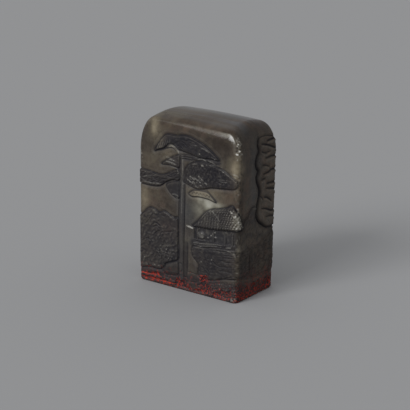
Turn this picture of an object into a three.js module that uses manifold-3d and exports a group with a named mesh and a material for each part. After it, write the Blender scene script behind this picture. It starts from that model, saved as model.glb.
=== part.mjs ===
// A carved stone seal: an oblong block of soft dark stone that stands on its printing end.
// A landscape in low relief runs round its four sides, and dried red seal paste is left in
// the hollows near the base. Millimetres, +Z up. The front faces -Y. The origin is the
// middle of the printing face.

import * as THREE from 'three';
import { LoftGeometry } from 'three/addons/geometries/LoftGeometry.js';
import { mergeVertices } from 'three/addons/utils/BufferGeometryUtils.js';
import Module from 'manifold-3d';

const wasm = await Module();
wasm.setup();

// The block
const blockWidth = 41.6;
const blockDepth = 22.2;
const blockHeight = 60; // at the middle of the top
const leftShoulderRun = 7.7;
const leftShoulderDrop = 13.8;
const rightShoulderRun = 5.5;
const rightShoulderDrop = 10.2;
const topArc = 0.55; // fall of the top's arc from its middle to either end
const topTilt = 0.8; // the right end is this much lower than the middle, and the left end higher
const topCrown = 1.9; // fall of the top from its middle line to the front and back
const uprightEdgeRadius = 1.8;
const topEdgeRadius = 2.5;
const baseEase = 0.5; // the rubbed edge round the printing face
const leanRight = 0.44; // how far the top stands to the right of the base
const leanBack = 0.32;

// The carving, in heights above the polished ground
const lowRelief = 0.3;
const middleRelief = 0.5;
const highRelief = 0.75;
const reliefRoot = 1.4; // how far a raised form runs into the block, and round a corner
const runPast = 1; // how far a form runs past the surface that cuts it off level
const leafRise = 0.25; // how far a leaf stands above the mass that it grows on
const needleRise = 0.3; // the clumps of needles, above the tier
const clumpSink = 0.05; // how far a clump starts below the surface that carries it
const scallopRise = 0.25;
const bushRise = 0.35;
const moundRise = 0.4;
const boulderRise = 0.45;
const crackDepth = 0.75;
const crackWidth = 1.0;
const channelDepth = 0.5; // the upright channel between the rocks on the right side
const channelWidth = 0.8;
const ledgeDepth = 0.4; // the ledges of the cliff
const ledgeWidth = 0.7;
const thatchDepth = 0.35;
const thatchWidth = 0.55;
const lineDepth = 0.25; // fine drawn lines
const lineWidth = 0.45;
const hutRecess = 0.35; // the walls of the hut lie this far below the ground

// The printing face
const printDepth = 1.0; // how deep its hollows are
const printBorder = 1.6; // the raised frame round it
const printStroke = 1.5; // the raised line of the fret
const printHollow = 1.5; // the hollow between two lines
const printCorner = 1.0; // the inside corner of the frame
const leastCorner = 0.1; // what is left of that corner at the edge of the paste

// The dried paste
const pasteGap = 0.15; // between a deposit and the stone round it
const pasteFilm = 0.3; // thickness of the layer on the printing face
const pasteHollow = 0.6; // depth of the hollows that hold it on the sides
const pasteThickness = 0.4;

// The sheets that the carving is drawn on, one size for the broad sides and one for the narrow
const unitLength = 1; // what one unit of the drawn points, spans and pitches measures
const broadSheet = 20.8; // half its width
const narrowSheet = 11.1;
const sheetHeight = 60;

// How finely the curved forms are faceted
const shoulderSteps = 10;
const topSteps = 8;
const edgeSteps = 4;
const crownSteps = 4;
const outlineSteps = 2;
const grooveSteps = 5;
const domeFacets = 6;
const leafFacets = 5;

const sides = {
  front: { turn: 0, half: blockWidth / 2, out: blockDepth / 2, sheet: broadSheet },
  right: { turn: Math.PI / 2, half: blockDepth / 2, out: blockWidth / 2, sheet: narrowSheet },
  back: { turn: Math.PI, half: blockWidth / 2, out: blockDepth / 2, sheet: broadSheet },
  left: { turn: -Math.PI / 2, half: blockDepth / 2, out: blockWidth / 2, sheet: narrowSheet },
};

// Solids from geometries and back

function toSolid(geometry) {
  const bare = new THREE.BufferGeometry().copy(geometry);
  bare.deleteAttribute('normal');
  bare.deleteAttribute('uv');
  const merged = mergeVertices(bare, 1e-5);
  const mesh = new wasm.Mesh({
    numProp: 3,
    vertProperties: new Float32Array(merged.attributes.position.array),
    triVerts: new Uint32Array(merged.index.array),
  });
  return new wasm.Manifold(mesh);
}

function toGeometry(solid) {
  const mesh = solid.getMesh();
  const geometry = new THREE.BufferGeometry();
  geometry.setAttribute('position', new THREE.BufferAttribute(mesh.vertProperties, 3));
  geometry.setIndex(new THREE.BufferAttribute(mesh.triVerts, 1));
  geometry.computeVertexNormals();
  return geometry;
}

function join(solids) {
  return solids.reduce((whole, solid) => whole.add(solid));
}

// The block's outline from the front, with the direction that each point faces

function topLine(x) {
  const share = x / (blockWidth / 2);
  return blockHeight - topArc * share ** 2 - topTilt * share;
}

function shoulder(centreX, centreZ, run, drop, startAngle) {
  const points = [];
  for (let i = 0; i <= shoulderSteps; i++) {
    const angle = startAngle + (Math.PI / 2) * (i / shoulderSteps);
    const normal = new THREE.Vector2(Math.cos(angle) / run, Math.sin(angle) / drop).normalize();
    points.push({ x: centreX + run * Math.cos(angle), z: centreZ + drop * Math.sin(angle), normal });
  }
  return points;
}

function blockOutline() {
  const half = blockWidth / 2;
  const rightX = half - rightShoulderRun;
  const leftX = -half + leftShoulderRun;
  const top = [];
  for (let i = 1; i < topSteps; i++) {
    const x = rightX + (leftX - rightX) * (i / topSteps);
    top.push({ x, z: topLine(x), normal: new THREE.Vector2(0, 1) });
  }
  return [
    { x: -half, z: 0, normal: new THREE.Vector2(-1, 0) },
    { x: half, z: 0, normal: new THREE.Vector2(1, 0) },
    ...shoulder(rightX, topLine(rightX) - rightShoulderDrop, rightShoulderRun, rightShoulderDrop, 0),
    ...top,
    ...shoulder(leftX, topLine(leftX) - leftShoulderDrop, leftShoulderRun, leftShoulderDrop, Math.PI / 2),
  ];
}

// The block is lofted from back to front. Each section is the outline, drawn in round the
// edges and lowered by the crown. A grown block has the same form, larger by the relief.

function depthStations() {
  const stations = [];
  for (let i = 0; i <= edgeSteps; i++) {
    const angle = (Math.PI / 2) * (i / edgeSteps);
    stations.push({ side: 1, inset: 1 - Math.sin(angle), back: 1 - Math.cos(angle), along: 1 });
  }
  for (let i = 1; i < crownSteps; i++) {
    stations.push({ side: 1, inset: 0, back: 1, along: 1 - (2 * i) / crownSteps });
  }
  for (let i = edgeSteps; i >= 0; i--) {
    const angle = (Math.PI / 2) * (i / edgeSteps);
    stations.push({ side: -1, inset: 1 - Math.sin(angle), back: 1 - Math.cos(angle), along: 1 });
  }
  return stations;
}

function blockSolid(grow) {
  const outline = blockOutline();
  const halfDepth = blockDepth / 2 + grow;
  const sections = depthStations().map((station) =>
    outline.map(({ x, z, normal }) => {
      const up = Math.max(normal.y, 0);
      const radius = grow + uprightEdgeRadius + (topEdgeRadius - uprightEdgeRadius) * up;
      const move = grow - radius * station.inset;
      const y = station.side * (halfDepth - radius * station.back) * station.along;
      const crown = topCrown * up * (y / (blockDepth / 2)) ** 2;
      return new THREE.Vector3(x + normal.x * move, y, z + normal.y * move - crown);
    }),
  );
  return toSolid(new LoftGeometry(sections, { capStart: true, capEnd: true }));
}

// An upright column with the block's plan, eased in at its foot

function planSection(grow, z) {
  const radius = uprightEdgeRadius + grow;
  const cornerX = blockWidth / 2 - uprightEdgeRadius;
  const cornerY = blockDepth / 2 - uprightEdgeRadius;
  const points = [];
  const corners = [[1, 1], [-1, 1], [-1, -1], [1, -1]];
  corners.forEach(([signX, signY], corner) => {
    for (let i = 0; i <= edgeSteps; i++) {
      const angle = (Math.PI / 2) * (corner + i / edgeSteps);
      const x = signX * cornerX + radius * Math.cos(angle);
      const y = signY * cornerY + radius * Math.sin(angle);
      points.push(new THREE.Vector3(x, y, z));
    }
  });
  return points;
}

function easedColumn() {
  const beyond = highRelief + runPast;
  const sections = [
    planSection(-baseEase, 0),
    planSection(0, baseEase),
    planSection(beyond, baseEase + beyond),
    planSection(beyond, blockHeight + beyond),
  ];
  return toSolid(new LoftGeometry(sections, { capStart: true, capEnd: true }));
}

// Forms are made flat, as on the sheet: x along the side, y up it, z out of the stone.
// The first helper turns drawn points into lengths, and the second stands a form up
// against its side of the block.

function drawn(points) {
  return points.map(([x, y]) => new THREE.Vector2(x, y).multiplyScalar(unitLength));
}

function stand(side, geometry) {
  const { turn, half, out, sheet } = sides[side];
  geometry.scale(half / sheet, blockHeight / sheetHeight, 1);
  geometry.rotateX(Math.PI / 2);
  geometry.translate(0, -out, 0);
  geometry.rotateZ(turn);
  return toSolid(geometry);
}

function curveThrough(points) {
  const corners = drawn(points).map(({ x, y }) => new THREE.Vector3(x, y, 0));
  const curve = new THREE.CatmullRomCurve3(corners, true, 'catmullrom', 0.5);
  return curve.getPoints(points.length * outlineSteps).slice(0, -1);
}

function slab(side, shapePoints, low, high) {
  const shape = new THREE.Shape(shapePoints.map(({ x, y }) => new THREE.Vector2(x, y)));
  const geometry = new THREE.ExtrudeGeometry(shape, { depth: high - low, bevelEnabled: false });
  geometry.translate(0, 0, low);
  return stand(side, geometry);
}

// A raised form is cut off level by a grown block, so it runs past that block here

function raised(side, points) {
  return slab(side, curveThrough(points), -reliefRoot, highRelief + runPast);
}

function raisedStraight(side, points) {
  return slab(side, drawn(points), -reliefRoot, highRelief + runPast);
}

// A limb is a line with a drawn width that runs from one value to another

function limb(side, points, startWidth, endWidth) {
  const curve = new THREE.SplineCurve(drawn(points));
  const steps = points.length * outlineSteps;
  const one = [];
  const other = [];
  for (let i = 0; i <= steps; i++) {
    const share = i / steps;
    const at = curve.getPoint(share);
    const along = curve.getTangent(share);
    const half = (unitLength * (startWidth + (endWidth - startWidth) * share)) / 2;
    one.push(new THREE.Vector2(at.x + along.y * half, at.y - along.x * half));
    other.unshift(new THREE.Vector2(at.x - along.y * half, at.y + along.x * half));
  }
  return slab(side, [...one, ...other], -reliefRoot, highRelief + runPast);
}

// A groove is a V that fades out at both ends. Its surface is the height that it is cut from.

function groove(side, points, width, depth, surface, steps = Math.max(grooveSteps, points.length)) {
  const curve = new THREE.SplineCurve(drawn(points));
  const sections = [];
  for (let i = 0; i <= steps; i++) {
    const share = i / steps;
    const at = curve.getPoint(share);
    const along = curve.getTangent(share);
    const fade = Math.sin(Math.PI * (0.04 + 0.92 * share)) ** 0.6;
    const half = (width / 2) * fade * ((depth * fade + runPast) / (depth * fade));
    sections.push([
      new THREE.Vector3(at.x - along.y * half, at.y + along.x * half, surface + runPast),
      new THREE.Vector3(at.x + along.y * half, at.y - along.x * half, surface + runPast),
      new THREE.Vector3(at.x, at.y, surface - depth * fade),
    ]);
  }
  return stand(side, new LoftGeometry(sections, { capStart: true, capEnd: true }));
}

// A clump is a flat dome on a deeper root, and a rock a faceted lump that is half sunk

function clump(side, x, y, spanX, spanY, turn, surface, rise, facets = domeFacets, rings = 4) {
  const geometry = new THREE.SphereGeometry(1, facets, rings);
  geometry.rotateX(Math.PI / 2);
  const points = geometry.attributes.position;
  for (let i = 0; i < points.count; i++) {
    const out = points.getZ(i);
    points.setZ(i, out > 0 ? out * rise : out * reliefRoot);
  }
  geometry.scale((unitLength * spanX) / 2, (unitLength * spanY) / 2, 1);
  geometry.rotateZ(turn);
  geometry.translate(unitLength * x, unitLength * y, surface);
  return stand(side, geometry);
}

function rock(side, x, y, spanX, spanY, spin) {
  const geometry = new THREE.IcosahedronGeometry(1, 0);
  geometry.rotateX(spin);
  geometry.rotateY(spin * 1.7);
  const thickness = unitLength * Math.min(spanX, spanY);
  geometry.scale((unitLength * spanX) / 2, (unitLength * spanY) / 2, thickness / 2);
  geometry.translate(unitLength * x, unitLength * y, lowRelief - thickness / 7);
  return stand(side, geometry);
}

// Leaves in staggered rows, on the mass that they grow on

function leaves(side, bounds, pitchX, pitchY, lean) {
  const [left, bottom, right, top] = bounds;
  const rows = Math.floor((top - bottom) / pitchY);
  const columns = Math.floor((right - left) / pitchX);
  const solids = [];
  for (let row = 0; row <= rows; row++) {
    for (let column = 0; column <= columns; column++) {
      const x = left + (column + (row % 2) / 2) * pitchX;
      const y = bottom + row * pitchY + 0.25 * pitchY * Math.sin(1.9 * column + row);
      const turn = lean * Math.cos(2.3 * row + 1.1 * column);
      solids.push(clump(side, x, y, pitchX * 1.1, pitchY * 1.2, turn, lowRelief, leafRise, leafFacets, 2));
    }
  }
  return join(solids);
}

// What each height of relief holds, and what is cut away

const low = [];
const middle = [];
const high = [];
const cuts = [];

// The pine: one trunk from the ground to the crown, with its tiers of needles

const trunkLine = [
  [-1.9, 3.4], [-2.1, 12], [-2, 24], [-1.8, 34], [-1.9, 42],
  [-2.8, 46.8], [-4.8, 49.2], [-8, 49.6],
];
middle.push(limb('front', trunkLine, 3.0, 1.0));
middle.push(limb('front', [[-1.9, 38.6], [0.2, 37.2], [3.2, 36.6]], 1.2, 0.7));
middle.push(limb('front', [[-2.2, 41.4], [-4.5, 43.4], [-8.2, 43.6]], 1.1, 0.7));

const crownTier = [
  [-13.6, 47.2], [-12.4, 49.3], [-10.4, 51.9], [-8.2, 53.2], [-4.4, 53.3], [-0.2, 53.8], [4, 52.8], [7.8, 51.2],
  [10.8, 49.3], [13.1, 47.2], [9.6, 47.3], [5.4, 47.1], [1.8, 47.8], [-1.6, 48.4], [-3.6, 48.8], [-5.4, 50.1],
  [-7.4, 50.2], [-9.4, 48.6], [-11.4, 47.8],
];
const rightTier = [
  [-1.4, 38.4], [-0.9, 41.4], [0.2, 43.8], [2.4, 45.2], [5.6, 46], [9.2, 45.7], [13.4, 44.8],
  [17.2, 43.1], [19.9, 40.9],
  [19.2, 38.9], [14.6, 38.2], [10.2, 37.8], [6.8, 36.9], [3.8, 36.6], [0.8, 37.3],
];
const leftTier = [
  [-24, 40.1], [-20, 39.9], [-15.6, 39.7], [-11.8, 39.1], [-8.8, 39.7], [-5.8, 41.2], [-3.1, 41.8],
  [-3, 38.5], [-5.9, 38.1], [-8.7, 36.9], [-11.6, 35.1], [-15.6, 34.7], [-20, 34.9], [-24, 35.1],
];
const smallLeftTier = [
  [-10.7, 42.9], [-8.4, 44.6], [-5.4, 46.2], [-3, 46.9], [-2.7, 44.4], [-3.2, 42.6], [-5.2, 42.7], [-8, 43],
];
const lowerLeftTier = [
  [-8.6, 36.2], [-5.8, 37.4], [-3, 37.6], [-2.8, 34.8], [-3, 32.3], [-4.4, 32.1], [-6.2, 33], [-7.8, 34.4],
];
const lowerRightTier = [
  [0.9, 34.6], [3, 36], [6, 36.3], [8.6, 36.2], [10.4, 35], [12.1, 33.2], [9, 33.8], [5.2, 34], [2.2, 33.7],
];
middle.push(raised('front', crownTier));
middle.push(raised('front', rightTier));
middle.push(raised('front', leftTier));
middle.push(raised('front', smallLeftTier));
low.push(raised('front', lowerLeftTier));
low.push(raised('front', lowerRightTier));

// Clumps of needles along the tiers, then the needles as short grooves that spread out

const needleClumps = [
  [-9.8, 50.6, 4.6, 3.2, 0.5], [-4.6, 52, 5.2, 2.6, 0], [0.8, 51.8, 5.4, 3, 0], [0.2, 49.6, 4.8, 2.2, 0.1],
  [6.2, 50, 5, 2.8, -0.3], [10.4, 48.4, 4, 1.8, -0.3], [4.8, 48.4, 4.2, 1.8, -0.1],
  [2.4, 43.4, 4.6, 2.6, 0.4], [7, 44, 5, 2.8, 0], [12.2, 43.2, 5, 2.6, -0.2], [16.8, 41.2, 4.4, 2.4, -0.4],
  [3.4, 39.8, 5, 2.8, 0.2], [8.8, 40, 5.2, 2.8, 0], [14, 39.8, 4.6, 2.2, 0],
  [-19.4, 38, 3.6, 2.4, 0.1], [-15.4, 37.6, 4.2, 2.8, 0], [-11, 37.5, 4, 2.4, 0.2], [-6, 39.6, 4.4, 2, 0.5],
  [-6.4, 44.2, 4.4, 1.8, 0.4],
];
for (const [x, y, spanX, spanY, turn] of needleClumps) {
  high.push(clump('front', x, y, spanX, spanY, turn, middleRelief - clumpSink, needleRise));
}

function needles(side, x, y, reach, surface) {
  const spread = [-0.8, 0, 0.8];
  return spread.map((angle) => {
    const far = new THREE.Vector2(Math.sin(angle), Math.cos(angle)).multiplyScalar(reach);
    const near = far.clone().multiplyScalar(0.25);
    return groove(side, [[x + near.x, y + near.y], [x + far.x, y + far.y]], lineWidth, lineDepth, surface, 2);
  });
}
for (const [x, y, spanX, spanY] of needleClumps.slice(0, 6)) {
  cuts.push(...needles('front', x, y - spanY / 2, Math.min(spanX, spanY), middleRelief + needleRise / 2));
}

// Small scallops on the lower right tier
for (let i = 0; i < 5; i++) {
  middle.push(clump('front', 2.6 + 1.8 * i, 35.2 - 0.1 * i, 2.1, 1.7, 0, lowRelief, scallopRise, leafFacets));
}

// Bark: long lines up the trunk
for (const shift of [-0.6, 0.45]) {
  const line = trunkLine.slice(0, 5).map(([x, y]) => [x + shift, y + 3]);
  cuts.push(groove('front', line, lineWidth, lineDepth, middleRelief));
}

// The hut: a thatched roof that runs round the front right corner, posts and a railed terrace

const roofLine = [
  [2.6, 23.6], [4.6, 25.6], [7, 28.4], [9.8, 30.5], [13, 31.3], [16.4, 32.2], [18.6, 33.2], [20.2, 31.6],
  [24, 29.6], [24, 25], [20.4, 24.7], [16.4, 24.4], [11.6, 23.8], [6, 23.5],
];
high.push(raised('front', roofLine));
high.push(raised('right', [
  [-14, 32], [-11, 30.6], [-9.6, 28.9], [-8.4, 27], [-7.8, 25.4], [-9, 24.8], [-14, 24.9],
]));

const thatchPitch = 1.3; // from one stroke of the thatch to the next, as drawn
for (let i = 0; i < 13; i++) {
  const foot = 4.6 + thatchPitch * i;
  const ridge = Math.min(foot + 1.6, 20.6);
  const ridgeHeight = Math.min(25.8 + 1.12 * (foot + 1 - 4.6), 30.6 + 0.21 * (foot - 9));
  cuts.push(groove('front', [[foot, 24.1], [ridge, ridgeHeight]], thatchWidth, thatchDepth, highRelief, 3));
}

const wall = { left: 3.4, right: 19.2, bottom: 19.6, top: 23.9 };
cuts.push(slab('front', drawn([
  [wall.left, wall.bottom], [wall.right, wall.bottom], [wall.right, wall.top + 0.6], [wall.left, wall.top],
]), -hutRecess, middleRelief / 2));
for (const x of [3.7, 7.4, 11.2, 14.8, 17.6]) {
  middle.push(raisedStraight('front', [[x, 16.8], [x + 0.8, 16.8], [x + 0.8, 24.4], [x, 24.4]]));
}
for (const y of [16.9, 18.9]) {
  middle.push(raisedStraight('front', [[2.9, y], [24, y + 0.4], [24, y + 1.1], [2.9, y + 0.7]]));
  middle.push(raisedStraight('right', [[-14, y + 0.4], [-9.4, y + 0.6], [-9.4, y + 1.3], [-14, y + 1.1]]));
}

// The leafy bank at the left, with a bush and a stem in front of it

const bankLine = [
  [-24, 23.2], [-19.6, 23.6], [-17.6, 24.8], [-16.4, 26.3], [-14.4, 27.1], [-12.6, 26.6],
  [-11.4, 25.4], [-9.2, 26.6],
  [-6.8, 25.6], [-4.8, 24.8], [-3.5, 25], [-3.3, 18], [-3.2, 11.4], [-5.4, 9.4], [-8.4, 8.2],
  [-11, 5.6], [-16, 5.4],
  [-24, 5.6],
];
const bank = raised('front', bankLine);
low.push(bank);
middle.push(leaves('front', [-18.4, 7.2, -4.4, 25], 3.7, 3.1, 0.7).intersect(bank));
middle.push(limb('front', [[-11, 4.2], [-10.8, 7.5], [-11, 11]], 0.9, 0.6));
const bushClumps = [[-10, 12, 3.6, 3], [-7, 13.2, 3.8, 3], [-4.8, 11.6, 2.8, 2.6], [-8.2, 10.2, 3.2, 2.2]];
for (const [x, y, spanX, spanY] of bushClumps) {
  high.push(clump('front', x, y, spanX, spanY, 0, middleRelief - clumpSink, bushRise));
}
low.push(clump('front', -5.8, 6.2, 6.2, 6.2, 0.2, 0, moundRise, 12));

// Rocks under the terrace and round the front right corner

const rockLine = [
  [2.8, 16.6], [8, 16.9], [14, 17.2], [24, 17.8], [24, 8.4], [19.6, 9.1], [14.6, 7.9], [10.6, 6.4], [5.6, 6.6],
  [5.2, 10.6], [2.8, 13.2],
];
low.push(raised('front', rockLine));
middle.push(clump('front', 2.9, 9, 4.8, 5.8, 0, 0, boulderRise, 12));
const frontRocks = [
  [6.4, 14.6, 4.2, 3.2, 0.3], [9.6, 12.6, 4.4, 3.8, 1.1], [7, 10.4, 3.4, 3.4, 2.2], [12.6, 15, 4.6, 3, 0.8],
  [13.4, 11.4, 4.4, 3.6, 1.9], [10.6, 9, 3.8, 2.6, 0.5], [16.6, 13.8, 4, 3.6, 2.7], [17.4, 10.6, 4.2, 2.8, 1.4],
  [20.2, 15.2, 4, 3.4, 0.2], [20.6, 12, 3.6, 3.2, 2.4], [14.8, 8.8, 3.6, 1.8, 0.9],
];
for (const [x, y, spanX, spanY, spin] of frontRocks) {
  middle.push(rock('front', x, y, spanX, spanY, spin));
}

// The ground: a ledge that climbs to the right corner, and two that run level at the left
middle.push(limb('front', [[8.6, 5.2], [13, 6], [17.4, 7.2], [22.4, 7.6]], 0.8, 1.5));
low.push(limb('front', [[-22.4, 4.3], [-17, 4.4], [-12, 4.9], [-9.4, 4.6]], 0.8, 0.5));
low.push(limb('front', [[-22.4, 2.5], [-16, 2.5], [-9, 2.8], [-5, 2.4]], 0.7, 0.4));

// The right side: a cliff behind one deep crack, a low arch and rocks at the foot

const crackLine = [
  [0.5, 53.4], [-0.4, 51.6], [0, 49.5], [-1, 47.8], [-1.6, 46], [-1, 44.1], [0, 42.8], [-0.9, 41], [-0.4, 39.1],
  [0.8, 36.8], [1, 34.6], [0.1, 31.8], [-0.4, 28.2], [0.6, 26], [2.6, 24.5], [5.8, 22.5], [9.8, 22.2],
];
low.push(raised('right', [[14, 22.2], [14, 40], [14, 53], [8, 53.6], [3.8, 54.2], ...crackLine.slice(0, -1)]));
cuts.push(groove('right', crackLine, crackWidth, crackDepth, lowRelief / 2));

const strata = [
  [[3, 51.2], [6.4, 50.9], [9.2, 49.2]], [[4.2, 52.8], [7, 52.9], [9.8, 52.4]], [[4, 47.3],
  [7.2, 47.4], [10.2, 46.6]],
  [[2.4, 41.8], [6.2, 42], [8.4, 42.9], [10.4, 42]], [[5.2, 38.2], [8.2, 37.9], [10.4, 37.4]],
  [[6, 35.6], [8.6, 34.8], [10.4, 33.2]], [[2.2, 30.2], [5.6, 29.7], [9.6, 27.8]], [[3.6, 33.4],
  [5.4, 33], [8, 31.4]],
];
for (const line of strata) {
  cuts.push(groove('right', line, ledgeWidth, ledgeDepth, lowRelief));
}
low.push(limb('right', [[-5.6, 27.4], [-4.6, 29.4], [-2.8, 30.6], [-0.6, 30.4]], 1, 0.8));
low.push(raised('right', [
  [-14, 17.6], [-8, 17.2], [-3.4, 18.8], [0.4, 17.6], [4.2, 19.2], [8, 20.6], [14, 21], [14, 6.6],
  [5, 6.2], [-4, 7],
  [-14, 8.2],
]));
const rightRocks = [
  [-8.6, 14.4, 4, 3.6, 0.6], [-6.4, 11, 4.2, 3.6, 1.8], [-8.8, 9.6, 3, 2.4, 2.6], [-1.2, 15, 4.4, 4, 1.2],
  [-0.6, 10.8, 4, 3.4, 0.1], [3.4, 16, 4.2, 3.4, 2.1], [4.2, 12, 4.4, 3.8, 0.9], [8.2, 17.4, 4, 3.4, 1.5],
  [8.6, 13.2, 4, 3.8, 2.9], [7.6, 9.4, 4.2, 2.8, 0.4], [2.4, 8.6, 3.6, 2.2, 1.3],
];
for (const [x, y, spanX, spanY, spin] of rightRocks) {
  middle.push(rock('right', x, y, spanX, spanY, spin));
}
cuts.push(groove('right', [[-3.9, 17.4], [-3.7, 13], [-4, 8.6]], channelWidth, channelDepth, lowRelief));

// The back: the cliff comes round the corner and falls to rocks, with a small leaning pine

low.push(raised('back', [
  [-24, 53], [-18.4, 51.6], [-14.6, 48.2], [-13.2, 43], [-14, 37.2], [-11.2, 32], [-9.6, 26.4],
  [-6.4, 21.2], [-24, 20.6],
]));
const backStrata = [
  [[-19.6, 48.4], [-17.4, 47.6], [-15, 46]], [[-20, 43.6], [-17.2, 43], [-14.6, 41.2]],
  [[-20, 38.2], [-17.4, 37.2], [-15.4, 35.4]], [[-19.4, 32.6], [-16, 31.4], [-12.6, 29]],
  [[-18.6, 27.4], [-14.6, 26.6], [-11, 24.2]],
];
for (const line of backStrata) {
  cuts.push(groove('back', line, ledgeWidth, ledgeDepth, lowRelief));
}
middle.push(limb('back', [[-13, 27.6], [-8.8, 30.2], [-5.6, 34.6], [-0.6, 36.2], [3.6, 36]], 2, 0.7));
const backTiers = [
  [[-11, 35], [-8.6, 37.8], [-4.2, 39.3], [0.4, 39], [3.2, 37.3], [-0.4, 36.3], [-5.8, 35.8]],
  [[-1.8, 34.4], [2, 37], [6.4, 37.2], [9.8, 35], [6, 34], [2, 33.8]],
  [[-6.8, 30], [-3.8, 32.2], [0.8, 32.6], [4, 30.9], [0.4, 29.7], [-3.6, 29.6]],
];
for (const tier of backTiers) {
  middle.push(raised('back', tier));
}
const backClumps = [
  [-6, 37.4, 4.6, 2.4, 0.3], [-1, 37.8, 4.4, 2.2, -0.1], [2.8, 35.6, 4, 2, 0.3], [6.6, 35.8, 4, 2, -0.2],
  [-3.4, 30.9, 4.2, 1.9, 0.2], [1, 31.2, 4, 1.9, -0.1],
];
for (const [x, y, spanX, spanY, turn] of backClumps) {
  high.push(clump('back', x, y, spanX, spanY, turn, middleRelief - clumpSink, needleRise));
}
low.push(raised('back', [
  [-24, 18.8], [-15, 19.4], [-8, 17.6], [-2, 14.2], [4, 12.6], [8, 13.4], [9, 6.2], [0, 5.6],
  [-12, 6], [-24, 6.4],
]));
const backRocks = [
  [-18.6, 15.4, 4.6, 3.8, 0.7], [-14, 16.4, 4.6, 3.4, 1.5], [-16.4, 11.6, 4.8, 4, 2.3],
  [-11.2, 12.8, 4.8, 4, 0.2],
  [-6.4, 13.2, 4.6, 3.8, 1.1], [-12.4, 8.6, 4.6, 3.2, 1.9], [-6.8, 8.8, 5, 3.4, 2.8],
  [-1.2, 10.6, 4.6, 3.6, 0.5],
  [3.8, 9.6, 4.6, 3.6, 1.3], [-19.4, 8.6, 3.6, 2.8, 2.1],
];
for (const [x, y, spanX, spanY, spin] of backRocks) {
  middle.push(rock('back', x, y, spanX, spanY, spin));
}
const backBank = raised('back', [
  [7.4, 12], [8.4, 19.4], [11.4, 22.8], [14.2, 24.4], [17.2, 23], [20, 24.4], [24, 23.2], [24, 5.6], [9.4, 5.8],
]);
low.push(backBank);
middle.push(leaves('back', [10.6, 8, 18.4, 22], 4.2, 3.6, 0.7).intersect(backBank));

// The left side: the end of the pine's long tier, and the leafy bank between front and back

middle.push(raised('left', [
  [2.6, 36.6], [5.6, 38.8], [9, 40], [14, 40.1], [14, 35.1], [9.4, 34.8], [5.8, 35.2],
]));
high.push(clump('left', 7.6, 37.4, 4.6, 2.6, 0.2, middleRelief - clumpSink, needleRise));
const leftBank = raised('left', [
  [-14, 23.2], [-9.4, 23.8], [-6.4, 26.4], [-3, 27.4], [0, 25.4], [3.2, 26.2], [6.6, 24.2],
  [14, 23.2], [14, 5.6],
  [4, 5.2], [-4, 5.8], [-14, 5.6],
]);
low.push(leftBank);
middle.push(leaves('left', [-8.4, 8, 8, 24.6], 4.3, 3.6, 0.7).intersect(leftBank));

// The printing face: a frame and one unbroken fret that curls into a square spiral at each end

function printRectangle(shrink) {
  const halfX = blockWidth / 2 - baseEase - printBorder - shrink;
  const halfY = blockDepth / 2 - baseEase - printBorder - shrink;
  const radius = Math.max(printCorner - shrink, leastCorner);
  const shape = new THREE.Shape();
  shape.absarc(halfX - radius, halfY - radius, radius, 0, Math.PI / 2);
  shape.absarc(-halfX + radius, halfY - radius, radius, Math.PI / 2, Math.PI);
  shape.absarc(-halfX + radius, -halfY + radius, radius, Math.PI, Math.PI * 1.5);
  shape.absarc(halfX - radius, -halfY + radius, radius, Math.PI * 1.5, Math.PI * 2);
  shape.closePath();
  return { shape, halfX, halfY };
}

function fretCorners() {
  const { halfX, halfY } = printRectangle(0);
  const pitch = printStroke + printHollow;
  const outX = halfX - printHollow - printStroke / 2;
  const outY = halfY - printHollow - printStroke / 2;
  const corners = [[0, 0], [0, outY]];
  for (let turn = 0; outY - turn * pitch > 0; turn++) {
    const right = outX - turn * pitch;
    const top = outY - turn * pitch;
    corners.push([right, top], [right, -top], [(turn + 1) * pitch, -top]);
    corners.push([(turn + 1) * pitch, Math.max(top - pitch, -top)]);
  }
  return corners;
}

function fretSolid(grow, lowZ, highZ) {
  const corners = fretCorners();
  const bars = [];
  for (const sign of [1, -1]) {
    for (let i = 1; i < corners.length; i++) {
      const [startX, startY] = corners[i - 1];
      const [endX, endY] = corners[i];
      const spanX = Math.abs(endX - startX) + printStroke + 2 * grow;
      const spanY = Math.abs(endY - startY) + printStroke + 2 * grow;
      const bar = new THREE.BoxGeometry(spanX, spanY, highZ - lowZ);
      bar.translate((sign * (startX + endX)) / 2, (sign * (startY + endY)) / 2, (lowZ + highZ) / 2);
      bars.push(toSolid(bar));
    }
  }
  return join(bars);
}

function printHollows(shrink, lowZ, highZ) {
  const { shape } = printRectangle(shrink);
  const floor = new THREE.ExtrudeGeometry(shape, { depth: highZ - lowZ, bevelEnabled: false, curveSegments: 4 });
  floor.translate(0, 0, lowZ);
  return toSolid(floor).subtract(fretSolid(shrink, lowZ - runPast, highZ + runPast));
}

// Dried paste: each deposit lies in a hollow of the same outline, larger all round by the gap

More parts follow.
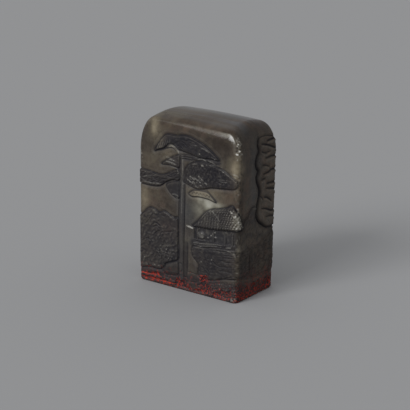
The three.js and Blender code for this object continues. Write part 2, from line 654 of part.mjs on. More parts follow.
const deposits = [
  {
    name: 'paste_front_upper_streak',
    side: 'front',
    points: [
      [-18.4, 3.1], [-15, 3.5], [-12.6, 4.1], [-11.2, 3.7], [-12.4, 3.1], [-15.4, 2.9],
    ],
  },
  {
    name: 'paste_front_lower_streak',
    side: 'front',
    points: [
      [-18.6, 1.6], [-13.6, 1.9], [-10, 2.1], [-6.8, 1.9], [-10, 1.4], [-14.4, 1], [-18.2, 1],
    ],
  },
  {
    name: 'paste_front_pine_foot',
    side: 'front',
    points: [
      [-4.6, 0.9], [-4.4, 2.6], [-3.4, 4], [-2.2, 3.2], [-0.8, 3.8], [-0.4, 2], [1.8, 1.6],
      [1.6, 0.8], [-1.6, 0.9],
    ],
  },
  {
    name: 'paste_front_rock_foot',
    side: 'front',
    points: [
      [3.6, 0.9], [4.6, 1.8], [6.6, 2.2], [6.4, 4.4], [6.6, 6.2], [8.6, 7.2], [9.2, 5.8], [8.4, 4.6],
      [10.4, 3.6],
      [10.2, 2], [8.2, 0.9],
    ],
  },
  {
    name: 'paste_front_corner',
    side: 'front',
    points: [
      [11.6, 1], [12, 2.4], [14, 2.8], [14.8, 4], [16.4, 3.4], [18.4, 4.3], [18.6, 2.4], [17, 0.9], [14.2, 1.2],
    ],
  },
  {
    name: 'paste_right_near',
    side: 'right',
    points: [
      [-8.6, 1], [-8.8, 2.8], [-7, 3.6], [-5, 4.8], [-4.2, 3.4], [-4.6, 1.2], [-6.4, 0.9],
    ],
  },
  {
    name: 'paste_right_middle',
    side: 'right',
    points: [
      [-3.2, 1], [-3, 3.2], [-1.2, 5], [0.6, 4.4], [2, 5.2], [3, 3.2], [2.6, 1.2], [0, 0.9],
    ],
  },
  {
    name: 'paste_right_far',
    side: 'right',
    points: [
      [4.2, 1], [4.4, 3.4], [6, 4.6], [8.6, 4.2], [8.8, 2.2], [7.6, 0.9], [6, 1.2],
    ],
  },
  {
    name: 'paste_back_foot',
    side: 'back',
    points: [
      [-9.8, 1], [-9.6, 2.6], [-6.2, 3.2], [-2.4, 2.4], [1.8, 3], [5.4, 2.4], [5.2, 1.2], [0, 0.9], [-5, 1.1],
    ],
  },
  {
    name: 'paste_left_foot',
    side: 'left',
    points: [
      [-2.8, 1], [-2.6, 2.4], [1, 3.2], [4.6, 4.4], [8.4, 4.2], [8.6, 1.8], [5.2, 1], [1, 1.2],
    ],
  },
];

function pasteShape(points, grow) {
  const outline = curveThrough(points);
  const grown = outline.map((point, i) => {
    const before = outline[(i + outline.length - 1) % outline.length];
    const after = outline[(i + 1) % outline.length];
    const along = new THREE.Vector2(after.x - before.x, after.y - before.y).normalize();
    return new THREE.Vector2(point.x - along.y * grow, point.y + along.x * grow);
  });
  return grown;
}

const stoneColour = new THREE.Color(0.19, 0.17, 0.155);
const pasteColour = new THREE.Color(0.52, 0.07, 0.06);

const seal = new THREE.Group();

const leaningMatrix = new THREE.Matrix4().makeShear(0, 0, 0, 0, leanRight / blockHeight, leanBack / blockHeight);

function addPart(name, solid, colour, roughness) {
  const geometry = toGeometry(solid).applyMatrix4(leaningMatrix);
  const material = new THREE.MeshStandardMaterial({ color: colour, roughness, metalness: 0 });
  const mesh = new THREE.Mesh(geometry, material);
  mesh.name = name;
  seal.add(mesh);
}

// The stone

const pasteBottom = -pasteHollow + pasteGap;
for (const { side, points } of deposits) {
  cuts.push(slab(side, pasteShape(points, pasteGap), -pasteHollow, highRelief + runPast));
}
cuts.push(printHollows(0, -runPast, printDepth));

const carving = [
  join(low).intersect(blockSolid(lowRelief)),
  join(middle).intersect(blockSolid(middleRelief)),
  join(high).intersect(blockSolid(highRelief)),
];
const stone = join([blockSolid(0), ...carving]).subtract(join(cuts)).intersect(easedColumn());
addPart('stone_body', stone, stoneColour, 0.32);

// The paste

const filmTop = printDepth - pasteGap;
addPart('paste_printing_face', printHollows(pasteGap, filmTop - pasteFilm, filmTop), pasteColour, 0.75);
for (const { name, side, points } of deposits) {
  const solid = slab(side, pasteShape(points, 0), pasteBottom, pasteBottom + pasteThickness);
  addPart(name, solid, pasteColour, 0.75);
}

export default seal;
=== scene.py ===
# %% [markdown]
# # A carved stone seal
# The object is one small block of dark soapstone, about 60 mm tall. It stands on its printing end. The
# top is domed and polished. A landscape in low relief runs round the four sides: a tall pine, a thatched
# hut, rocks, a leafy bank and a cliff. Dried red seal paste is left in the hollows near the base. The CAD
# model gives the size and the place of everything. This lesson makes the surface that the eye sees.

# %% Load the frame
import math

import bmesh
import bpy
import numpy as np
from mathutils import Matrix, Vector


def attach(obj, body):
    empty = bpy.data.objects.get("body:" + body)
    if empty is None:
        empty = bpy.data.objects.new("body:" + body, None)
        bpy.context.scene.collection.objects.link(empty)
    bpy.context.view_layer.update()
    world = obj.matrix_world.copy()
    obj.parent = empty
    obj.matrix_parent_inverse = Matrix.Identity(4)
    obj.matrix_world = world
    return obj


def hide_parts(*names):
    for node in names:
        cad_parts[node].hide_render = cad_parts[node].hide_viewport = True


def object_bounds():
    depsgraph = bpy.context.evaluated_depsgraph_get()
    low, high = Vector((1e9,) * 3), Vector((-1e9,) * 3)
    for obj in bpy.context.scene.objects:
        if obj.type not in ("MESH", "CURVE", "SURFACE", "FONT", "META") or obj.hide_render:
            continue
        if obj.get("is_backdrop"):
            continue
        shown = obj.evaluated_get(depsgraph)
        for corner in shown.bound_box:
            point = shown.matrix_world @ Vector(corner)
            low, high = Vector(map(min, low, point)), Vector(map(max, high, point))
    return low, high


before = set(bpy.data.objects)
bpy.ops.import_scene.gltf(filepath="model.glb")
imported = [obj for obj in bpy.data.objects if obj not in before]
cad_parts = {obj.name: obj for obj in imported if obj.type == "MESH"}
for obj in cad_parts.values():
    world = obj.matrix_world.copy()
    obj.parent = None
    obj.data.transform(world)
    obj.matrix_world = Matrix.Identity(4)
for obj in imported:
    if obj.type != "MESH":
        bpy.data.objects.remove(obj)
cad_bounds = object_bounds()
MM = 0.001  # everything is worked out in millimetres and stored in metres
print("nodes of the frame:", sorted(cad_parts))


def numbers(value):
    return [numbers(part) for part in value] if hasattr(value, "__len__") else float(value)


# %% [markdown]
# ## The camera
# The view is from the right of the front face and a little above, through a fairly long lens. The
# distance matters as well as the angle: from far away the upright edges would look parallel, and here
# they close in a little towards the foot. The camera looks at a point just under the middle of the stone
# and is rolled by a quarter of a degree, as the picture is.

# %% Camera
VIEW_TURN = math.radians(36.78)  # from the front towards the right side
VIEW_RISE = math.radians(15.34)
VIEW_ROLL = math.radians(0.27)
VIEW_DISTANCE = 338.7
LENS = 87.4
STONE_MIDDLE = Vector((0, 0, 30))  # the distance is measured from here
AIM = Vector((-0.16, -0.12, 27.96))


def add_object(name, data):
    """A new object at the origin, linked to the scene."""
    thing = bpy.data.objects.new(name, data)
    bpy.context.scene.collection.objects.link(thing)
    return thing


towards_camera = Vector((
    math.sin(VIEW_TURN) * math.cos(VIEW_RISE), -math.cos(VIEW_TURN) * math.cos(VIEW_RISE),
    math.sin(VIEW_RISE),
))
camera_place = STONE_MIDDLE + towards_camera * VIEW_DISTANCE
camera_data = bpy.data.cameras.new("camera")
camera_data.lens = LENS
camera_data.clip_start = 0.01
camera = add_object("camera", camera_data)
turn = (AIM - camera_place).to_track_quat("-Z", "Y").to_matrix().to_4x4()
camera.matrix_world = Matrix.Translation(camera_place * MM) @ turn @ Matrix.Rotation(VIEW_ROLL, 4, "Z")
bpy.context.scene.camera = camera
print("camera at", [round(c, 1) for c in camera_place], "mm")

# %% [markdown]
# ## Finishes as lists of nodes
# A finish in Blender is a tree of nodes, whose inputs are set or linked. It could be wired by hand in the
# editor. Here a few short helpers write it, so that each finish further on can be read and changed as a
# plain list.

# %% Helpers for nodes and meshes
def new_material(name):
    """A node material with nothing in it yet, and its tree."""
    material = bpy.data.materials.new(name)
    material.use_nodes = True
    tree = material.node_tree
    tree.nodes.clear()
    return material, tree


def add_node(tree, kind, inputs=None, **settings):
    """A node with its settings, and its inputs set or linked by name or number."""
    node = tree.nodes.new(kind)
    for name, value in settings.items():
        setattr(node, name, value)
    for socket, value in (inputs or {}).items():
        if isinstance(value, bpy.types.NodeSocket):
            tree.links.new(value, node.inputs[socket])
        else:
            node.inputs[socket].default_value = value
    return node


def add_surface(tree, inputs):
    """The shader of a material, with its inputs set or linked, and the output that it goes to."""
    shader = add_node(tree, "ShaderNodeBsdfPrincipled", inputs)
    add_node(tree, "ShaderNodeOutputMaterial", {"Surface": shader.outputs["BSDF"]})


def add_mesh_object(name, mesh):
    """An object made of a finished bmesh, which is freed."""
    data = bpy.data.meshes.new(name)
    mesh.to_mesh(data)
    mesh.free()
    return add_object(name, data)


print("helpers:", [helper.__name__ for helper in (new_material, add_node, add_surface, add_mesh_object)])

# %% [markdown]
# ## Floor and light
# The stone stands on a seamless pale grey sheet that fills the picture. The world adds plain light from
# all round. Polished stone shows what it reflects, so camera rays and glossy rays see the sheet's own
# grey in place of the white that does the lighting.

# %% The floor and the world
SHEET_GREY = (0.285, 0.289, 0.300, 1.0)
FLOOR_SIZE = 6.0  # metres, half a side
WORLD_LIGHT = 0.65

floor_mesh = bmesh.new()
bmesh.ops.create_grid(floor_mesh, x_segments=1, y_segments=1, size=FLOOR_SIZE)
floor = add_mesh_object("floor", floor_mesh)
floor_material, tree = new_material("grey_sheet")
add_surface(tree, {"Base Color": SHEET_GREY, "Roughness": 0.9})
floor.data.materials.append(floor_material)
floor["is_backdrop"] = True

world = bpy.data.worlds.new("studio")
world.use_nodes = True
bpy.context.scene.world = world
tree = world.node_tree
tree.nodes.clear()
rays = add_node(tree, "ShaderNodeLightPath")
seen = add_node(tree, "ShaderNodeMath", {0: rays.outputs["Is Camera Ray"], 1: rays.outputs["Is Glossy Ray"]},
                operation="MAXIMUM")
lighting = add_node(tree, "ShaderNodeBackground", {"Color": (1, 1, 1, 1), "Strength": WORLD_LIGHT})
backdrop = add_node(tree, "ShaderNodeBackground", {"Color": SHEET_GREY, "Strength": 1.0})
either = add_node(tree, "ShaderNodeMixShader", {
    0: seen.outputs[0], 1: lighting.outputs[0], 2: backdrop.outputs[0]})
add_node(tree, "ShaderNodeOutputWorld", {"Surface": either.outputs[0]})
print(f"the floor is {floor.dimensions.x:.0f} m wide, and the world has", len(tree.nodes), "nodes")

# %% [markdown]
# One large soft lamp stands in front, a little to the left and fairly low. It throws the long soft shadow
# to the back, and its reflection is the bright spot at the corner of the top. Two smaller ones beside it
# draw that spot out to the left along the front edge of the top, and a weak one further left draws the
# thin line that it fades into. All four are suns, because a sun is even over the whole stone.

# %% The lamps
def add_sun(name, direction, strength, width):
    """A soft lamp far away. Direction points from the stone to the lamp, width is how wide it looks."""
    data = bpy.data.lights.new(name, "SUN")
    data.energy = strength
    data.angle = math.radians(width)
    add_object(name, data).rotation_euler = Vector(direction).to_track_quat("Z", "Y").to_euler()


lamps = (
    ("key_lamp", (-0.18, -0.87, 0.44), 1.85, 27), ("high_lamp", (-0.306, -0.770, 0.559), 0.3, 17),
    ("low_lamp", (-0.351, -0.884, 0.309), 0.3, 17), ("side_lamp", (-0.48, -0.78, 0.41), 0.08, 16),
)
for lamp in lamps:
    add_sun(*lamp)
print("lit by the world and", [name for name, *_ in lamps])

# %% [markdown]
# ## The block of stone
# The real seal began as a sawn block whose shoulders, edges and crown were then rubbed round. It could be
# made with bevels, but the two shoulders are unequal, the top is crowned and the surface needs even,
# four-sided cells for the carving. So a cube is subdivided into cells and its points are moved to the
# rubbed form, like clay in a mould.

# %% Sizes of the block
HALF_WIDTH = 20.8
HALF_DEPTH = 11.1
HEIGHT = 60.0
LEFT_RUN, LEFT_DROP = 7.7, 13.8
RIGHT_RUN, RIGHT_DROP = 5.5, 10.2
TOP_ARC, TOP_TILT, TOP_CROWN = 0.55, 0.8, 1.9
CROWN_FADE = 6.6  # how far down the flat faces the points still follow the crown
UPRIGHT_RADIUS = 1.8
TOP_RADII = (1.2, 3.6)  # the edge of the top is crisper at the left end
TOP_RADII_AT = (-16, 16)
BASE_EASE = 0.5
EASE_BAND = 3.0  # the foot is drawn in only this near the upright faces
LEAN_RIGHT, LEAN_BACK = 0.44, 0.32
print(f"the block is {2 * HALF_WIDTH:.1f} mm wide, {2 * HALF_DEPTH:.1f} deep and {HEIGHT:.0f} tall")

# %% [markdown]
# One short rule rounds every corner: it turns a square into a quarter of a disc. It is used first for the
# shoulders, seen from the front, and then for the edges that run round the front and the back. The crown,
# the tilt and the eased foot are small shifts on top of that.

# %% Rub the block round
def round_corner(s, t):
    """Two shares of a square, each 0 to 1, moved to the quarter disc that fits in it."""
    return s * np.sqrt(1 - t * t / 2), t * np.sqrt(1 - s * s / 2)


def rub_round(box):
    """Points of the plain box, in millimetres, moved to the rubbed block."""
    x, y, z = box.T.copy()
    # the shoulders, each a quarter of an ellipse
    right = x > 0
    run = np.where(right, RIGHT_RUN, LEFT_RUN)
    drop = np.where(right, RIGHT_DROP, LEFT_DROP)
    s = np.clip((np.abs(x) - (HALF_WIDTH - run)) / run, 0, 1)
    t = np.clip((z - (HEIGHT - drop)) / drop, 0, 1)
    s, t = np.where(t > 0, round_corner(s, t)[0], s), np.where(s > 0, round_corner(s, t)[1], t)
    outer = s > 0
    x = np.where(outer, np.sign(x) * (HALF_WIDTH - run + run * s), x)
    z = np.where(t > 0, HEIGHT - drop + drop * t, z)
    # how far each point is inside the outline, and which way is out of it there
    in_corner = (s > 0) & (t > 0)
    reach = np.maximum(np.hypot(s, t), 1e-9)
    slope = np.maximum(np.hypot(s / run, t / drop), 1e-9)
    side_gap = HALF_WIDTH - np.abs(x)
    top_gap = HEIGHT - z
    inside = np.where(in_corner, (1 - reach) * reach / slope, np.minimum(side_gap, top_gap))
    flat_top = ~in_corner & (top_gap < side_gap)
    out_x = np.where(in_corner, s / run / slope, np.where(flat_top, 0.0, 1.0)) * np.sign(x)
    out_z = np.where(in_corner, t / drop / slope, np.where(flat_top, 1.0, 0.0))
    # the edges round the front and the back
    top_radius = np.interp(x, TOP_RADII_AT, TOP_RADII)
    radius = UPRIGHT_RADIUS + (top_radius - UPRIGHT_RADIUS) * out_z
    s = np.clip(1 - inside / radius, 0, 1)
    t = np.clip((np.abs(y) - (HALF_DEPTH - radius)) / radius, 0, 1)
    edge = (s > 0) & (t > 0)
    round_s, round_t = round_corner(s, t)
    shift = np.where(edge, radius * (round_s - s), 0.0)
    y = np.where(edge, np.sign(y) * (HALF_DEPTH - radius + radius * round_t), y)
    x = x + out_x * shift
    z = z + out_z * shift
    # the crown, which fades out down the flat faces
    under_top = np.where(in_corner, out_z, np.where(outer, 0.0, 1.0))
    down = np.where(in_corner, inside, top_gap)
    fade = np.clip(1 - (down - radius) / CROWN_FADE, 0, 1) ** 2
    z = z - TOP_CROWN * under_top * (y / HALF_DEPTH) ** 2 * fade
    # the tilt and the arc of the top, then the eased foot
    along = np.clip(x, -HALF_WIDTH + LEFT_RUN, HALF_WIDTH - RIGHT_RUN) / HALF_WIDTH
    z = z - (TOP_ARC * along ** 2 + TOP_TILT * along) * np.clip(box[:, 2] / (HEIGHT - LEFT_DROP), 0, 1)
    ease = np.clip(1 - box[:, 2] / BASE_EASE, 0, 1) * BASE_EASE
    x = x - np.sign(x) * ease * np.clip((np.abs(x) - HALF_WIDTH + EASE_BAND) / EASE_BAND, 0, 1)
    y = y - np.sign(y) * ease * np.clip((np.abs(y) - HALF_DEPTH + EASE_BAND) / EASE_BAND, 0, 1)
    return np.stack([x, y, z], 1)


def lean(points):
    """The block stands a little out of plumb, as the real one does."""
    share = points[:, 2] / HEIGHT
    return points + np.stack([LEAN_RIGHT * share, LEAN_BACK * share, 0 * share], 1)


box_corner = np.array([[HALF_WIDTH, -HALF_DEPTH, HEIGHT]])
print("the right front top corner of the box moves to", rub_round(box_corner)[0].round(1), "mm")

# %% [markdown]
# A cube from Blender has eight points. Subdividing all the edges that run one way, then the next way,
# gives a regular grid of cells on its six faces. Later only the cells where something is carved are
# divided again, so the fine cells are where they are needed.

# %% The first cells
CELLS = (66, 36, 96)  # across, deep and up: cells of about 0.63 mm


def edges_along(mesh, axis):
    """The edges that run along one axis, 0 for x, 1 for y and 2 for z."""
    found = []
    for edge in mesh.edges:
        step = edge.verts[0].co - edge.verts[1].co
        if abs(step[axis]) > 0.999 * step.length:
            found.append(edge)
    return found


stone_mesh = bmesh.new()
bmesh.ops.create_cube(stone_mesh, size=1.0)
bmesh.ops.translate(stone_mesh, verts=stone_mesh.verts, vec=(0, 0, 0.5))
bmesh.ops.scale(stone_mesh, verts=stone_mesh.verts, vec=(2 * HALF_WIDTH, 2 * HALF_DEPTH, HEIGHT))
for axis, count in enumerate(CELLS):
    lengthwise = edges_along(stone_mesh, axis)
    bmesh.ops.subdivide_edges(stone_mesh, edges=lengthwise, cuts=count - 1, use_grid_fill=True)
print("the block starts with", len(stone_mesh.faces), "cells")

# %% [markdown]
# ## A drawing sheet wrapped round the stone
# A carver draws the landscape on the stone first, then cuts it. Here the drawing sheet is a grid of
# numbers that is wrapped round the four sides, so a stroke can run over a corner as the real ones do. One
# layer holds how far the surface stands out, one how deep it is cut, and three more hold how dark, worn
# or red it is. The worn layer also carries painted highlights, pale and white, where the stone would
# glint. Strokes are stamped into the layers one at a time, and the points of the stone are then moved by
# what they find there.

# %% The sheet
CORNER_ARC = UPRIGHT_RADIUS * math.pi / 2
QUARTER = HALF_WIDTH + HALF_DEPTH - 2 * UPRIGHT_RADIUS + CORNER_ARC
GIRTH = 4 * QUARTER
MIDDLE = {"front": 0.0, "right": QUARTER, "back": 2 * QUARTER, "left": -QUARTER}
COLUMNS = 1560
CELL = GIRTH / COLUMNS
SHEET_TOP = 61  # mm
ROWS = int(SHEET_TOP / CELL)
LAYERS = ("raised", "cut", "tone", "wear_and_highlight", "stain")
sheet = {layer: np.zeros((ROWS, COLUMNS)) for layer in LAYERS}
print(f"the sheet is {GIRTH:.1f} mm round, in cells of {CELL:.3f} mm")

# %% [markdown]
# A stroke is given by a few drawn points. A smooth line is laid through them, as a hand would draw it,
# and every cell near it finds out how far away the line is. That distance shapes the stroke across its
# width, so no stroke needs a mesh of its own.

# %% Lines on the sheet
def part_of_sheet(side, path, margin):
    """The cells near a path on one side, and their places in that side's own millimetres."""
    low = path.min(0) - margin
    high = path.max(0) + margin
    start = MIDDLE[side]
    columns = np.arange(int((start + low[0]) / CELL) - 1, int((start + high[0]) / CELL) + 2)
    rows = np.arange(max(int(low[1] / CELL), 0), min(int(high[1] / CELL) + 2, ROWS))
    x, z = np.meshgrid((columns + 0.5) * CELL - start, (rows + 0.5) * CELL)
    return np.ix_(rows, columns % COLUMNS), x, z


def flow(points, closed=False, steps=6):
    """A smooth line through drawn points. An open one is carried on past its ends to bend it there."""
    p = np.array(points, float)
    if len(p) < 3 and not closed:
        return p
    if closed:
        before = np.roll(p, 1, axis=0)
        after = np.roll(p, -1, axis=0)
        beyond = np.roll(p, -2, axis=0)
    else:
        before = np.vstack([2 * p[0] - p[1], p[:-1]])
        after = np.vstack([p[1:], 2 * p[-1] - p[-2]])
        beyond = np.vstack([after[1:], 2 * after[-1] - after[-2]])
    line = []
    for i in range(len(p) if closed else len(p) - 1):
        for t in np.arange(steps) / steps:
            line.append(0.5 * (2 * p[i] + (after[i] - before[i]) * t
                               + (2 * before[i] - 5 * p[i] + 4 * after[i] - beyond[i]) * t ** 2
                               + (3 * p[i] - before[i] - 3 * after[i] + beyond[i]) * t ** 3))
    line.append(p[0] if closed else p[-1])
    return np.array(line)


def away_from(line, x, z):
    """How far each cell is from a line, and how far along the line its nearest point lies, 0 to 1."""
    nearest = np.full(x.shape, 1e9)
    along = np.zeros(x.shape)
    count = len(line) - 1
    for i in range(count):
        start, step = line[i], line[i + 1] - line[i]
        t = np.clip(((x - start[0]) * step[0] + (z - start[1]) * step[1]) / max(step @ step, 1e-12), 0, 1)
        gap = np.hypot(x - start[0] - t * step[0], z - start[1] - t * step[1])
        closer = gap < nearest
        nearest = np.where(closer, gap, nearest)
        along = np.where(closer, (i + t) / count, along)
    return nearest, along


def within(line, x, z):
    """True for the cells inside a closed line."""
    odd = np.zeros(x.shape, bool)
    for (ax, az), (bx, bz) in zip(line[:-1], line[1:]):
        if az != bz:
            odd ^= ((az > z) != (bz > z)) & (x < (bx - ax) * (z - az) / (bz - az) + ax)
    return odd


def stamp(layer, cells, value):
    """The larger of what is there and what is stamped."""
    sheet[layer][cells] = np.maximum(sheet[layer][cells], value)


print("a line through three drawn points has", len(flow([(0, 0), (1, 1), (2, 0)])), "points")

# %% [markdown]
# The first tools work along a line. `groove` draws the pointed knife along it, and `bead` leaves a
# rounded ridge standing. `ink` only darkens, and `scratch` only cleans. All but `ink` thin out towards
# both ends, as a stroke of the knife does.

# %% Tools that follow a line
FAR = 99.0  # past the end of any side
FRONT_END, SIDE_END = 20.4, 10.7  # where a shape ends on one side and goes on round the corner


def tapered(width, along, ends):
    """Half the width of a stroke, which thins towards both ends."""
    return 0.5 * width * np.sin(math.pi * (ends + (1 - 2 * ends) * along)) ** 0.5


def groove(side, points, width=0.5, depth=0.3, tone=0.9):
    """A dark cut along a line, deepest in the middle of its width."""
    line = flow(points)
    cells, x, z = part_of_sheet(side, line, width)
    gap, along = away_from(line, x, z)
    half = tapered(width, along, 0.06)
    bite = np.clip(1 - gap / half, 0, 1)
    stamp("cut", cells, depth * bite)
    stamp("tone", cells, tone * np.clip(1.6 * bite, 0, 1))


def ink(side, points, width, tone):
    """Old ink or dirt along a line that isn't cut deeper."""
    line = flow(points)
    cells, x, z = part_of_sheet(side, line, width)
    gap, _ = away_from(line, x, z)
    stamp("tone", cells, tone * np.clip(2.5 * (1 - 2 * gap / width), 0, 1))


def scratch(side, places, angle, length, width, share, seed, swing=0.4):
    """Slivers of clean stone between the cuts, where a tool or a cloth has taken the dirt off."""
    draw = np.random.RandomState(seed)
    for x0, z0 in places:
        turn = angle + swing * (draw.rand() - 0.5) * 2
        step = np.array([math.cos(turn), math.sin(turn)]) * length * (0.25 + 0.5 * draw.rand())
        middle = np.array([x0, z0])
        line = flow([middle - step, middle + np.array([-step[1], step[0]]) * 0.25, middle + step])
        cells, x, z = part_of_sheet(side, line, width)
        gap, along = away_from(line, x, z)
        clean = share * draw.rand() * np.clip(1.5 * (1 - 2 * gap / width), 0, 1)
        clean = clean * np.sin(math.pi * along) ** 0.5
        sheet["tone"][cells] *= 1 - clean
        stamp("wear_and_highlight", cells, 0.12 * clean)


def bead(side, points, width=0.6, height=0.2, wear_and_highlight=0.5):
    """A rounded ridge along a line."""
    line = flow(points)
    cells, x, z = part_of_sheet(side, line, width)
    gap, along = away_from(line, x, z)
    half = tapered(width, along, 0.1)
    swell = np.sqrt(np.clip(1 - (gap / half) ** 2, 0, 1))
    sheet["raised"][cells] += height * swell
    stamp("wear_and_highlight", cells, wear_and_highlight * swell)


print("tools for lines:", [tool.__name__ for tool in (groove, ink, scratch, bead)])

# %% [markdown]
# The next tools leave a form standing. `mass` raises a whole shape a little above the ground, with a
# groove round it that is steep on the inside and gentle on the outside. `lump` is one rounded or pointed
# swelling, for a leaf or a rock.

# %% Tools for a form
def mass(side, points, height, tone, edge=0.3, line=0.55, depth=0.3, rim=0.95, ends=(-FAR, FAR)):
    """Tone is one value, or places across and the values there. Past its ends another shape carries it on."""
    outline = flow(points, closed=True)
    cells, x, z = part_of_sheet(side, outline, 1.0)
    gap, _ = away_from(outline, x, z)
    gap = np.where((x > ends[0]) & (x < ends[1]), gap, FAR)
    inner = within(outline, x, z) & (gap < FAR)
    tone = np.interp(x, *tone) if isinstance(tone, tuple) else tone
    rise = np.clip(gap / edge, 0, 1)
    rise = rise * rise * (3 - 2 * rise)
    stamp("raised", cells, np.where(inner, height * rise, 0))
    dark = np.where(inner, np.clip(gap / 0.6, 0.3, 1), np.clip(1 - gap / 0.35, 0, 1))
    stamp("tone", cells, tone * dark)
    bite = np.clip(1 - gap / (line / 2), 0, 1)
    stamp("cut", cells, depth * np.where(inner, bite, np.clip(1 - gap / (0.9 * line), 0, 1)))
    stamp("tone", cells, rim * np.clip(1.7 * bite, 0, 1))
    return np.stack([np.clip(outline[:, 0], *ends), outline[:, 1]], 1)


def lump(side, x0, z0, long, broad, angle, height, wear_and_highlight=0.0, tone=0.0, sharp=0.5):
    """Sharp is the power of its profile: 0.5 is round, 1 is a cone."""
    centre = np.array([[x0, z0]])
    cells, x, z = part_of_sheet(side, centre, max(long, broad))
    c, s = math.cos(angle), math.sin(angle)
    u, v = (x - x0) * c + (z - z0) * s, -(x - x0) * s + (z - z0) * c
    swell = np.clip(1 - (2 * u / long) ** 2 - (2 * v / broad) ** 2, 0, 1) ** sharp
    sheet["raised"][cells] += height * swell
    stamp("wear_and_highlight", cells, wear_and_highlight * swell ** 2)
    stamp("tone", cells, tone * (swell > 0))


print("tools for forms:", [tool.__name__ for tool in (mass, lump)])

# %% [markdown]
# The last tools make many small marks at once. `scatter` finds places inside a shape, in staggered rows
# with a little play, since a carver's rows are even but never exact. `nick` makes a short cut at each
# place, and `glints` small raised spots painted pale, partly as wear and partly as painted highlights.

# %% Tools for many marks
def scatter(outline, pitch, seed, jitter=0.35):
    """Places inside a closed line, in staggered rows, each a little off its row."""
    draw = np.random.RandomState(seed)
    low, high = outline.min(0), outline.max(0)
    places = []
    for row, z in enumerate(np.arange(low[1] + pitch[1] / 2, high[1], pitch[1])):
        for x in np.arange(low[0] + pitch[0] * (0.25 + 0.5 * (row % 2)), high[0], pitch[0]):
            off = (draw.rand(2) - 0.5) * 2 * jitter * np.array(pitch)
            places.append((x + off[0], z + off[1]))
    places = np.array(places)
    return places[within(outline, places[:, 0], places[:, 1])]


def nick(side, places, angle, length, width, depth, seed, swing=0.3, tone=0.9, bend=0.0):
    """Many short cuts, one at each place, all leaning much the same way."""
    draw = np.random.RandomState(seed)
    for x0, z0 in places:
        turn = angle + swing * (draw.rand() - 0.5) * 2
        reach = length * (0.7 + 0.6 * draw.rand()) / 2
        step = np.array([math.cos(turn), math.sin(turn)]) * reach
        across = np.array([-step[1], step[0]]) * bend
        middle = np.array([x0, z0])
        line = [middle - step, middle + across, middle + step]
        groove(side, line, width, depth, tone * (0.7 + 0.3 * draw.rand()))


def glints(side, places, size=0.7, height=0.12, wear_and_highlight=0.9):
    """Small raised spots painted pale: some wear, and a painted highlight, white where it is strongest."""
    for i, (x0, z0) in enumerate(places):
        long = size * (1.2 + 0.3 * math.sin(5 * i))
        lump(side, x0, z0, long, size * 0.8, 0.4 * math.sin(3 * i), height, wear_and_highlight)


print("tools for many marks:", [tool.__name__ for tool in (scatter, nick, glints)])

# %% [markdown]
# ## The front: a pine above a hut
# On the real seal the masses of the pine stand a hair above the polished ground, their outlines are cut
# deep and black, and the needles are quick nicks in rows. The tiers have the same outlines as the CAD
# solids. First come the masses and their outlines, then the needles on them.

# %% The pine's tiers and trunk
LOW, MIDDLE_HEIGHT, HIGH = 0.2, 0.28, 0.45  # mm that a shape stands out

crown = mass("front", [
    (-13.8, 47.0), (-12.4, 49.3), (-10.4, 51.9), (-8.2, 53.3), (-4.4, 53.3), (-0.2, 53.8), (4, 52.8),
    (7.8, 51.2), (10.8, 49.3), (13.1, 47.2), (9.6, 47.3), (5.4, 47.1), (1.8, 47.8), (-1.6, 48.4),
    (-3.6, 48.8), (-5.4, 50.1), (-7.4, 50.2), (-9.4, 48.6), (-11.4, 47.8),
], MIDDLE_HEIGHT, ((-12, -10, -7.5, 4, 12), (0.2, 0.3, 0.92, 0.92, 0.76)), line=0.85, depth=0.3)
right_tier = mass("front", [
    (-1.4, 38.4), (-0.9, 41.4), (0.2, 43.8), (2.4, 45.2), (5.6, 46), (9.2, 45.7), (13.4, 44.8), (17.2, 43.1),
    (20.2, 41.2), (19.6, 38.9), (14.6, 38.2), (10.2, 37.8), (6.8, 36.9), (3.8, 36.6), (0.8, 37.3),
], MIDDLE_HEIGHT, ((0, 6, 19), (0.76, 0.86, 0.88)), line=0.8, depth=0.3)
left_tier = mass("front", [
    (-24, 40.1), (-20, 39.9), (-15.6, 39.7), (-11.8, 39.1), (-8.8, 39.7), (-5.8, 41.2), (-3.1, 41.8),
    (-3, 38.5), (-5.9, 38.1), (-8.7, 36.9), (-11.6, 35.1), (-15.6, 34.7), (-20, 34.9), (-24, 35.1),
], MIDDLE_HEIGHT, ((-20.4, -12, -4), (0.6, 0.74, 0.76)), line=0.75, depth=0.3, ends=(-FRONT_END, FAR))
small_tier = mass("front", [
    (-10.7, 42.9), (-8.4, 44.6), (-5.4, 46.2), (-3, 46.9), (-2.7, 44.4), (-3.2, 42.6), (-5.2, 42.7), (-8, 43),
], MIDDLE_HEIGHT, 0.72, line=0.75, depth=0.26)
low_left_tier = mass("front", [
    (-8.6, 36.2), (-5.8, 37.4), (-3, 37.6), (-2.8, 34.8), (-3, 32.3), (-4.4, 32.1), (-6.2, 33), (-7.8, 34.4),
], LOW, 0.74, line=0.6, depth=0.26)
mass("front", [
    (0.9, 34.6), (3, 36), (6, 36.3), (8.6, 36.2), (10.4, 35), (12.1, 33.2), (9, 33.8), (5.2, 34), (2.2, 33.7),
], LOW, 0.14, line=0.75, depth=0.26)

